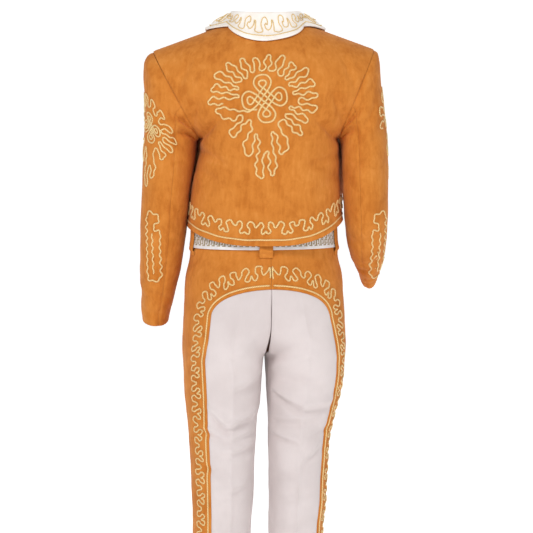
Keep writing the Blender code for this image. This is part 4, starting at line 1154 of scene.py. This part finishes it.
def solveSpots(surface, a, b, x, z, limits):
    # the surface's two parameters at a place across and height, by Newton's steps
    (lowA, highA), (lowB, highB), small = limits[0], limits[1], 1e-3
    for _ in range(25):
        here = surface(a, b)
        stepA = (surface(a + small, b) - here) / small
        stepB = (surface(a, b + small) - here) / small
        missX, missZ = x - here[..., 0], z - here[..., 2]
        size = stepA[..., 0] * stepB[..., 2] - stepA[..., 2] * stepB[..., 0]
        size = np.where(np.abs(size) < 1e-6, 1e-6, size)
        a = np.clip(a + 0.7 * (missX * stepB[..., 2] - missZ * stepB[..., 0]) / size, lowA, highA)
        b = np.clip(b + 0.7 * (missZ * stepA[..., 0] - missX * stepA[..., 2]) / size, lowB, highB)
    return a, b


def framed(surface, a, b, sign, smallA=0.004, smallB=0.01):
    # points of a surface and its outward directions, from small steps both ways
    acrossA = surface(a + smallA, b) - surface(a - smallA, b)
    acrossB = surface(a, b + smallB) - surface(a, b - smallB)
    return surface(a, b), sign * unit(np.cross(acrossA, acrossB))


def onBack(flatLine):
    # lays a line drawn across and up the back on the jacket's back
    x, z = flatLine[:, 0], flatLine[:, 1]
    made = []
    for side in (left, right):
        def half(share, level, side=side):
            return jacketCloth(side, back, share, level)
        share = np.clip(np.abs(x) / 150, 0.02, 0.9)
        level = np.interp(z, [-300, -155, -90, -8], [0.01, 1, 2, 2.9])
        share, level = solveSpots(half, share, level, side * np.abs(x), z,
                                  ((0.0, 0.97), (0.0, 2.95)))
        points, normals = framed(half, np.clip(share, 0.005, 0.96), level, 1.0)
        points[:, 0] = x
        rear = np.sign(-normals[:, 1:2])
        made.append((points, normals * rear))
    onRight = (x >= 0)[:, None]
    return (np.where(onRight, made[1][0], made[0][0]), np.where(onRight, made[1][1], made[0][1]))


# Back ornament: a ring of long loops in the shape of a drop, round a knot of two strands
drop = {
    "x": -2.0, "z": -98.0, "lean": -1.0,
    # turn from the top, then how far the loops reach out and in
    "turn": [0, 30, 55, 80, 100, 122, 147, 164, 174, 180],
    "outer": [60, 66, 78, 84, 76, 73, 76, 90, 110, 122],
    "inner": [36, 34, 32, 34, 38, 34, 34, 42, 58, 72],
    "bulge": -0.145, "uneven": 0.42, "wave": 1.9, "waveLong": 14.0,
    # the ring opens at the left, where the knot's tail comes in; loops are wider at the tip
    "opening": 256.0, "above": 8.0, "below": 20.0, "tipFrom": 140.0, "tipSteps": 0.52,
}


def dropRing(scale=1.0, seed=43, loops=20, tail=None):
    # the meander runs round the drop's middle line; its reach follows the outer and inner line
    def band(turn):
        # the ring's middle and half width at a turn from the top
        away = np.abs((turn + 180) % 360 - 180)
        far, near = [curve(drop["turn"], drop[key], away) for key in ("outer", "inner")]
        return (far + near) / 2, (far - near) / 2, away

    turn = drop["opening"] + np.linspace(drop["above"], 360 - drop["below"], 721)
    middle, _, away = band(turn)
    step = np.linalg.norm(np.diff(middle[:, None] * np.stack([np.sin(turn * deg), np.cos(turn * deg)],
                                                             axis=-1), axis=0), axis=-1)
    step = step * np.where(away[1:] > drop["tipFrom"], drop["tipSteps"], 1.0)
    run = np.concatenate([[0], np.cumsum(step)])
    along, across = meander(loops, drop["bulge"], seed, drop["uneven"])
    at = np.interp(np.clip(along / loops, 0, 1) * run[-1], run, turn)
    middle, half, _ = band(at)
    reach = middle + half * across
    at = (at + drop["lean"]) * deg
    line = np.stack([reach * np.sin(at), reach * np.cos(at)], axis=-1)
    if tail is not None:
        line = np.concatenate([line, tail])
    return wavy(line * scale, drop["wave"] * np.mean(scale), drop["waveLong"], seed)


knotLoops = {
    # for each strand: corner of the lattice, length and half width of its four loops
    "corner": [4.8, 14.0], "long": [26.5, 10.0], "wide": [12.4, 5.4], "tall": 1.06, "tilt": 8.0,
}


def knot(scale=1.0):
    # a strand crosses the middle on slanting lines and turns back in a drop-shaped loop at
    # each of four ends: one loop's points, turned four times, under a smooth closed line
    strands = []
    for corner, long, wide in zip(knotLoops["corner"], knotLoops["long"], knotLoops["wide"]):
        share = np.array([(0, 0), (0.62, 0.28), (0.98, 0.62), (0.66, 0.92), (0, 1)])
        half = share * [wide, long] + [0, corner]
        loop = np.concatenate([[(-corner / 2, corner / 2)], half, half[-2::-1] * [-1, 1]])
        turns = [loop @ np.array([[np.cos(k), -np.sin(k)], [np.sin(k), np.cos(k)]])
                 for k in np.arange(4) * 90 * deg]
        strands.append(closedLine(np.concatenate(turns)) * [1, knotLoops["tall"]] * scale)
    turn = knotLoops["tilt"] * deg
    spin = np.array([[np.cos(turn), np.sin(turn)], [-np.sin(turn), np.cos(turn)]])
    return [strand @ spin for strand in strands]


def closedLine(points, steps=16):
    # a smooth line through the points and back to the first, by Catmull and Rom's formula
    t = np.linspace(0, 1, steps, endpoint=False)[None, :, None]
    a, b, c, d = [np.roll(points, shift, axis=0)[:, None] for shift in (1, 0, -1, -2)]
    line = 0.5 * (2 * b + (c - a) * t + (2 * a - 5 * b + 4 * c - d) * t ** 2
                  + (3 * b - 3 * c + d - a) * t ** 3)
    line = line.reshape(-1, 2)
    return np.concatenate([line, line[:1]])


def knotTail():
    # from the ring's end at the left, between two loops, into the knot's lower left
    return openLine(np.array([(-59, -26), (-67, -19), (-63, -12), (-50, -14), (-36, -17),
                              (-22, -17.5), (-10, -14.5)]))


def addBackOrnament():
    centre = np.array([drop["x"], drop["z"]])
    flatLines = [dropRing(tail=knotTail()), *knot()]
    addCords("back_ornament_cord", [onBack(line + centre) for line in flatLines], goldCord)


# Bands: one repeat is a few points along (0 to 1) and across (-1 to 1), laid end to end
# Each has two rounded loops outward with a dip between, and two inward with a bump between
hemRepeat = [(0, -0.35), (0.05, -0.75), (0.14, -1.0), (0.22, -0.75), (0.20, -0.25), (0.11, 0.15),
             (0.10, 0.65), (0.19, 1.0), (0.30, 0.85), (0.35, 0.4), (0.44, 0.15), (0.53, 0.4),
             (0.58, 0.9), (0.70, 1.05), (0.84, 0.8), (0.84, 0.25), (0.74, -0.2), (0.74, -0.75),
             (0.84, -1.0), (0.94, -0.75)]
legRepeat = [(0, 0.0), (0.03, -0.6), (0.12, -1.0), (0.25, -0.85), (0.25, -0.3), (0.13, 0.15),
             (0.11, 0.75), (0.23, 1.05), (0.37, 0.75), (0.39, 0.15), (0.48, -0.35), (0.58, 0.05),
             (0.62, 0.75), (0.75, 1.05), (0.89, 0.75), (0.88, 0.15), (0.76, -0.3), (0.75, -0.85),
             (0.88, -1.0), (0.97, -0.6)]
hemBand = {"period": 31.0, "reach": 9.8, "middle": 25.0, "line": 8.6, "wave": 0.6, "waveLong": 8.0,
           "thin": 0.85}


def openLine(points, steps=10):
    # a smooth line through all the points, by Catmull and Rom's formula
    whole = np.concatenate([points[:1], points, points[-1:]])
    t = np.linspace(0, 1, steps, endpoint=False)[None, :, None]
    a, b, c, d = [whole[k:len(whole) - 3 + k][:, None] for k in range(4)]
    line = 0.5 * (2 * b + (c - a) * t + (2 * a - 5 * b + 4 * c - d) * t ** 2
                  + (3 * b - 3 * c + d - a) * t ** 3)
    return np.concatenate([line.reshape(-1, 2), points[-1:]])


def repeatLine(shape, count, seed, loose=0.04):
    # the repeat laid end to end, each point a little off its place; along counts repeats
    draw = np.random.default_rng(seed)
    shape = np.array(shape)
    tiles = shape[None] + np.stack([np.arange(count), 0 * np.arange(count)], axis=-1)[:, None]
    tiles = tiles + draw.normal(0, 1, tiles.shape) * [loose * 0.35, loose * 1.6]
    size = 1 - 0.16 * draw.random((count, 1))
    tiles[..., 1] *= size
    first, last = tiles[:1, :1] * [0, 1], tiles[:1, :1] * [0, 1] + [count, 0]
    return openLine(np.concatenate([first[0], tiles.reshape(-1, 2)[1:], last[0]]))


def alongHem(side, face, lines, outward):
    # lays lines drawn along (from the middle) and up from the hem on the jacket
    share = np.linspace(0 if face < 0 else body["frontShare"], 1, 200)
    hem = jacketCloth(side, face, share, 0 * share)
    run = runLength(hem)
    laid = []
    for line in lines:
        inside = (line[:, 0] > 0) & (line[:, 0] < run[-1] - 2.0)
        here = np.interp(line[inside, 0], run, share)
        level = line[inside, 1] / (body["pitZ"] - hemHeight(side, face, here))

        def cloth(a, b):
            return jacketCloth(side, face, a, b)
        points, normals = framed(cloth, here, np.clip(level, 0.011, 1), 1.0)
        laid.append((points, normals * np.sign(np.sum(normals * outward, axis=-1, keepdims=True))))
    return laid


def addHemBand():
    loops, straights = [], []
    for face, outward in ((back, (0, -1, 0)), (front, (0, 1, 0))):
        halves = []
        for side in (left, right):
            seed = 31 + int(side) + int(2 * face)
            motif = repeatLine(hemRepeat, 6, seed, 0.03) * [hemBand["period"], hemBand["reach"]]
            motif = wavy(motif + [0, hemBand["middle"]], hemBand["wave"], hemBand["waveLong"], seed)
            straight = np.stack([np.linspace(0, 175, 300), np.full(300, hemBand["line"])], axis=-1)
            straight[:, 1] += 0.25 * np.sin(straight[:, 0] / 6)
            halves.append(alongHem(side, face, [motif, straight], outward))
        for made, one, other in zip((loops, straights), *halves):
            # the back's two halves are one line; the fronts stay apart at their edges
            whole = tuple(np.concatenate([a[::-1], b]) for a, b in zip(one, other))
            made += [whole] if face < 0 else [one, other]
    addCords("hem_band_cord", loops, goldCord)
    addCords("hem_line_cord", straights, goldCord, cord["radius"] * hemBand["thin"])


# Sleeve ornaments: a smaller drop and knot on the upper arm, and a wavy panel on the forearm
armOrnament = {
    # turn round the sleeve of its middle, distance down the sleeve and size
    left: {"turn": 46.0, "down": 106.0, "seed": 38}, right: {"turn": -14.0, "down": 104.0, "seed": 58},
    "ring": np.array([0.66, 0.80]), "knot": np.array([0.74, 0.66]), "loops": 13, "radius": 47.0,
}
forearm = {
    # its middle across on each sleeve, half width, both ends and the wave down its sides
    left: -159.5, right: 160.5,
    "wide": 9.5, "top": -258.0, "foot": -358.0, "wave": 2.2, "waveLong": 15.0,
}


def onSleeve(side, line, middle, down):
    # lays a line drawn across and up, in millimetres, on the outside of the sleeve
    ring = np.linspace(0, 16, 161)
    outermost = sleevePoint(side, ring, 0 * ring)
    run = runLength(outermost)
    at = np.clip(np.interp(down - line[:, 1], run, ring), 0.35, 15.6)
    angle = middle * deg - side * line[:, 0] / armOrnament["radius"]

    def cloth(a, b):
        return sleevePoint(side, b, a)
    points, normals = framed(cloth, angle, at, 1.0, 0.01, 0.02)
    away = points - sleevePoint(side, at, angle + np.pi)
    return points, normals * np.sign(np.sum(normals * away, axis=-1, keepdims=True))


def forearmPanel(side):
    # a closed strand in waves down one side, round the foot and up the other, with a notch near
    # the top, and a short wavy line inside it
    half, high = forearm["wide"], (forearm["top"] - forearm["foot"]) / 2
    corner = np.array([(half, high - 6), (half * 1.05, 0), (half, 6 - high), (half * 0.4, -high),
                       (-half * 0.5, 1 - high), (-half, 8 - high), (-half * 0.9, 0),
                       (-half, high - 34), (-half * 0.9, high - 26), (-half * 0.2, high - 27),
                       (half * 0.05, high - 20), (-half * 0.6, high - 15), (-half * 0.9, high - 8),
                       (-half * 0.3, high - 3), (half * 0.5, high)])
    ring = wavy(closedLine(corner, 24), forearm["wave"] * 0.8, forearm["waveLong"] * 0.75, 41)
    t = np.linspace(0, 1, 120)
    core = np.stack([half * (0.25 - 0.1 * t), (high - 30) * (1 - t) - (high - 10) * t], axis=-1)
    core = wavy(core, forearm["wave"] * 0.55, forearm["waveLong"] * 0.75, 43)
    return [line * [side, 1] for line in (ring, core)]


def addSleeveOrnaments():
    for side in (left, right):
        spot = armOrnament[side]
        flatLines = [dropRing(armOrnament["ring"], spot["seed"], armOrnament["loops"]),
                     *knot(armOrnament["knot"])]
        lines = [onSleeve(side, line, spot["turn"], spot["down"]) for line in flatLines]
        middle = np.array([forearm[side], (forearm["top"] + forearm["foot"]) / 2])
        for line in forearmPanel(side):
            lines.append(onForearm(side, line + middle))
        addCords("sleeve_" + sideWord[side] + "_cord", lines, goldCord,
                 cord["radius"] * 0.85)


def onForearm(side, line):
    # lays a line drawn across and up on the back of the forearm
    def cloth(a, b):
        return sleevePoint(side, b, a)
    ring = np.interp(-line[:, 1], [31, 122, 225, 315, 416], [0.5, 5, 8, 11, 15.5])
    angle, ring = solveSpots(cloth, 0 * ring + 60 * deg, ring, line[:, 0], line[:, 1],
                             ((12 * deg, 100 * deg), (0.3, 15.7)))
    points, normals = framed(cloth, angle, ring, 1.0, 0.01, 0.02)
    return points, normals * np.sign(-normals[:, 1:2])


# Trouser bands: one cord beside the white panel and a row of loops outside it
legBand = {"line": 5.6, "period": 30.0, "middle": 21.0, "archMiddle": 24.0, "reach": 10.4,
           "archReach": 11.0, "wave": 0.5, "waveLong": 8.0}


def legRadius(side, z):
    return 0.52 * (legSize(side, z)[1] + curve(trousers["z"], trousers["back"], z))


def panelEdge(side):
    # the white panel's edge drawn flat: distance round from the leg's middle back, and height
    lowZ = np.linspace(trousers["hem"] + 3, trousers["archFoot"], 260)
    archShare, archZ = archLine(side, 90)
    share = np.concatenate([edgeShare(side, lowZ), archShare[1:]])
    z = np.concatenate([lowZ, archZ[1:]])
    return np.stack([legAngle(side, share, z) * legRadius(side, z), z], axis=-1)


def onLeg(side, line):
    # lays a line drawn as distance round from the leg's middle back and height on the leg
    z = line[:, 1]
    angle = line[:, 0] / legRadius(side, z)
    inside = angle > legSize(side, z)[2] + 0.012
    angle, z = angle[inside], z[inside]

    def cloth(a, b):
        return legPoint(side, a, b)
    points, normals = framed(cloth, angle, z, 1.0, 0.006, 0.6)
    away = points - stack(trousers["x"] + side * legSize(side, z)[0], 0, z)
    return points, normals * np.sign(np.sum(normals * away, axis=-1, keepdims=True))


def beside(line):
    # unit directions square to a flat line
    ahead = unit(np.gradient(line, axis=0))
    return np.stack([ahead[:, 1], -ahead[:, 0]], axis=-1)


def addTrouserBands():
    for side in (left, right):
        edge = evenly(panelEdge(side), 1.0)
        square = beside(edge)
        onArch = np.clip((runLength(edge) - runLength(edge)[-1] + 150) / 60, 0, 1)[:, None]
        middle = legBand["middle"] + (legBand["archMiddle"] - legBand["middle"]) * onArch
        reach = legBand["reach"] + (legBand["archReach"] - legBand["reach"]) * onArch
        # the loops are spaced along their own middle line, which is longer than the edge
        path, reach = evenly(edge + square * middle, 1.0, reach)
        path = softened(path, 5)
        run = runLength(path)
        count = round(run[-1] / legBand["period"])
        along, across = repeatLine(legRepeat, count, 51 + int(side), 0.03).T
        columns = (*path.T, *beside(path).T, reach[:, 0])
        x, z, squareX, squareZ, high = [np.interp(along * run[-1] / count, run, column)
                                        for column in columns]
        loops = np.stack([x + squareX * high * across, z + squareZ * high * across], axis=-1)
        loops = wavy(loops, legBand["wave"], legBand["waveLong"], 61 + int(side))
        addCords("trouser_" + sideWord[side] + "_cord",
                 [onLeg(side, edge + square * legBand["line"]), onLeg(side, loops)],
                 goldCord, cord["radius"] * 0.9)


# Collar cords: a thin line inside the edge, curls between it and the fold
collarCord = {"line": 6.15, "curlFrom": 4.1, "curlTo": 5.7, "long": 165.0, "period": 21.0,
              "radius": 0.8}
curlRepeat = [(0.0, -0.75), (0.10, -1.0), (0.24, -0.9), (0.33, -0.5), (0.30, 0.0), (0.22, 0.45),
              (0.28, 0.85), (0.44, 1.0), (0.56, 0.75), (0.53, 0.4), (0.46, 0.45), (0.44, 0.15),
              (0.52, -0.1), (0.66, -0.2), (0.80, 0.2), (0.82, 0.65), (0.90, 0.55), (0.94, 0.0),
              (0.92, -0.5)]


def onCollar(at, down):
    points, normals = framed(collarPoint, at, down, 1.0, 0.004, 0.03)
    away = stack(points[:, 0], points[:, 1], 25.0)
    normals = normals * np.sign(np.sum(normals * away, axis=-1, keepdims=True))
    return points + normals * collarForm["thick"] / 2, normals


def addCollarCords():
    at = np.linspace(-0.985, 0.985, 700)
    lines = [onCollar(at, collarCord["line"] + 0.03 * np.sin(at * 40))]
    count = int(2 * collarCord["long"] / collarCord["period"])
    along, across = repeatLine(curlRepeat, count, 71, 0.03).T
    at = -0.96 + 1.92 * along / count
    middle = (collarCord["curlFrom"] + collarCord["curlTo"]) / 2
    half = (collarCord["curlTo"] - collarCord["curlFrom"]) / 2
    lines.append(onCollar(at, middle - half * across))
    addCords("collar_cord", lines, goldCord, collarCord["radius"])


addCollarCords()
addBackOrnament()
addHemBand()
addSleeveOrnaments()
addTrouserBands()
print("cord embroidery ready")


# Stage, lights and camera
studio = {
    "floor": -0.985, "reach": 6.0, "wide": 7.0, "lens": 121.6, "eye": (0.0, -2.6, -0.110),
    "aim": (0.0007, 0.0, -0.340), "air": 0.38,
}


def addStage():
    # floor and backdrop in one pale sheet that turns up behind the suit
    flat = np.linspace(-4.0, studio["reach"], 40)
    turn = np.linspace(0, 90, 24)[1:] * deg
    y = np.concatenate([flat, studio["reach"] + 2.0 * np.sin(turn), np.full(6, studio["reach"] + 2.0)])
    z = np.concatenate([0 * flat, 2.0 - 2.0 * np.cos(turn), 2.0 + np.linspace(0.3, 3.0, 6)])
    x = np.linspace(-studio["wide"], studio["wide"], 12)
    points = stack(x[None], y[:, None], z[:, None] + studio["floor"])
    look = Finish("pale_paper", roughness=0.9)
    look.put("Base Color", (0.93, 0.93, 0.93, 1.0))
    look.put("Emission Color", (1.0, 1.0, 1.0, 1.0))
    look.put("Emission Strength", 0.5)
    mesh = bpy.data.meshes.new("backdrop")
    mesh.from_pydata(points.reshape(-1, 3).tolist(), [], gridFaces(len(y), len(x)).tolist())
    mesh.shade_smooth()
    mesh.materials.append(look.material)
    sheet = bpy.data.objects.new("backdrop", mesh)
    bpy.context.scene.collection.objects.link(sheet)


def addLamp(name, place, aim, size, watts, colour=(1.0, 1.0, 1.0)):
    lamp = bpy.data.lights.new(name, "AREA")
    lamp.shape, lamp.size, lamp.energy, lamp.color = "DISK", size, watts, colour
    holder = bpy.data.objects.new(name, lamp)
    holder.location = place
    holder.rotation_euler = (Vector(aim) - Vector(place)).to_track_quat("-Z", "Y").to_euler()
    bpy.context.scene.collection.objects.link(holder)


addStage()
addLamp("key_lamp", (-1.2, -2.5, 1.9), (0, 0, -0.3), 1.0, 54)
addLamp("fill_lamp", (2.1, -2.2, 0.9), (0, 0, -0.4), 1.6, 20)
addLamp("back_lamp", (0.6, 2.2, 1.4), (0, 0, -0.4), 1.2, 16)
sky = bpy.data.worlds.new("studio_air")
sky.use_nodes = True
sky.node_tree.nodes["Background"].inputs["Color"].default_value = (1.0, 1.0, 1.0, 1.0)
sky.node_tree.nodes["Background"].inputs["Strength"].default_value = studio["air"]
bpy.context.scene.world = sky
bpy.context.scene.view_settings.view_transform = "Standard"
camera = bpy.data.objects.new("camera", bpy.data.cameras.new("camera"))
camera.data.lens = studio["lens"]
camera.data.sensor_width = 36
camera.location = studio["eye"]
sight = Vector(studio["aim"]) - Vector(studio["eye"])
camera.rotation_euler = sight.to_track_quat("-Z", "Y").to_euler()
bpy.context.scene.collection.objects.link(camera)
bpy.context.scene.camera = camera
print("stage ready")
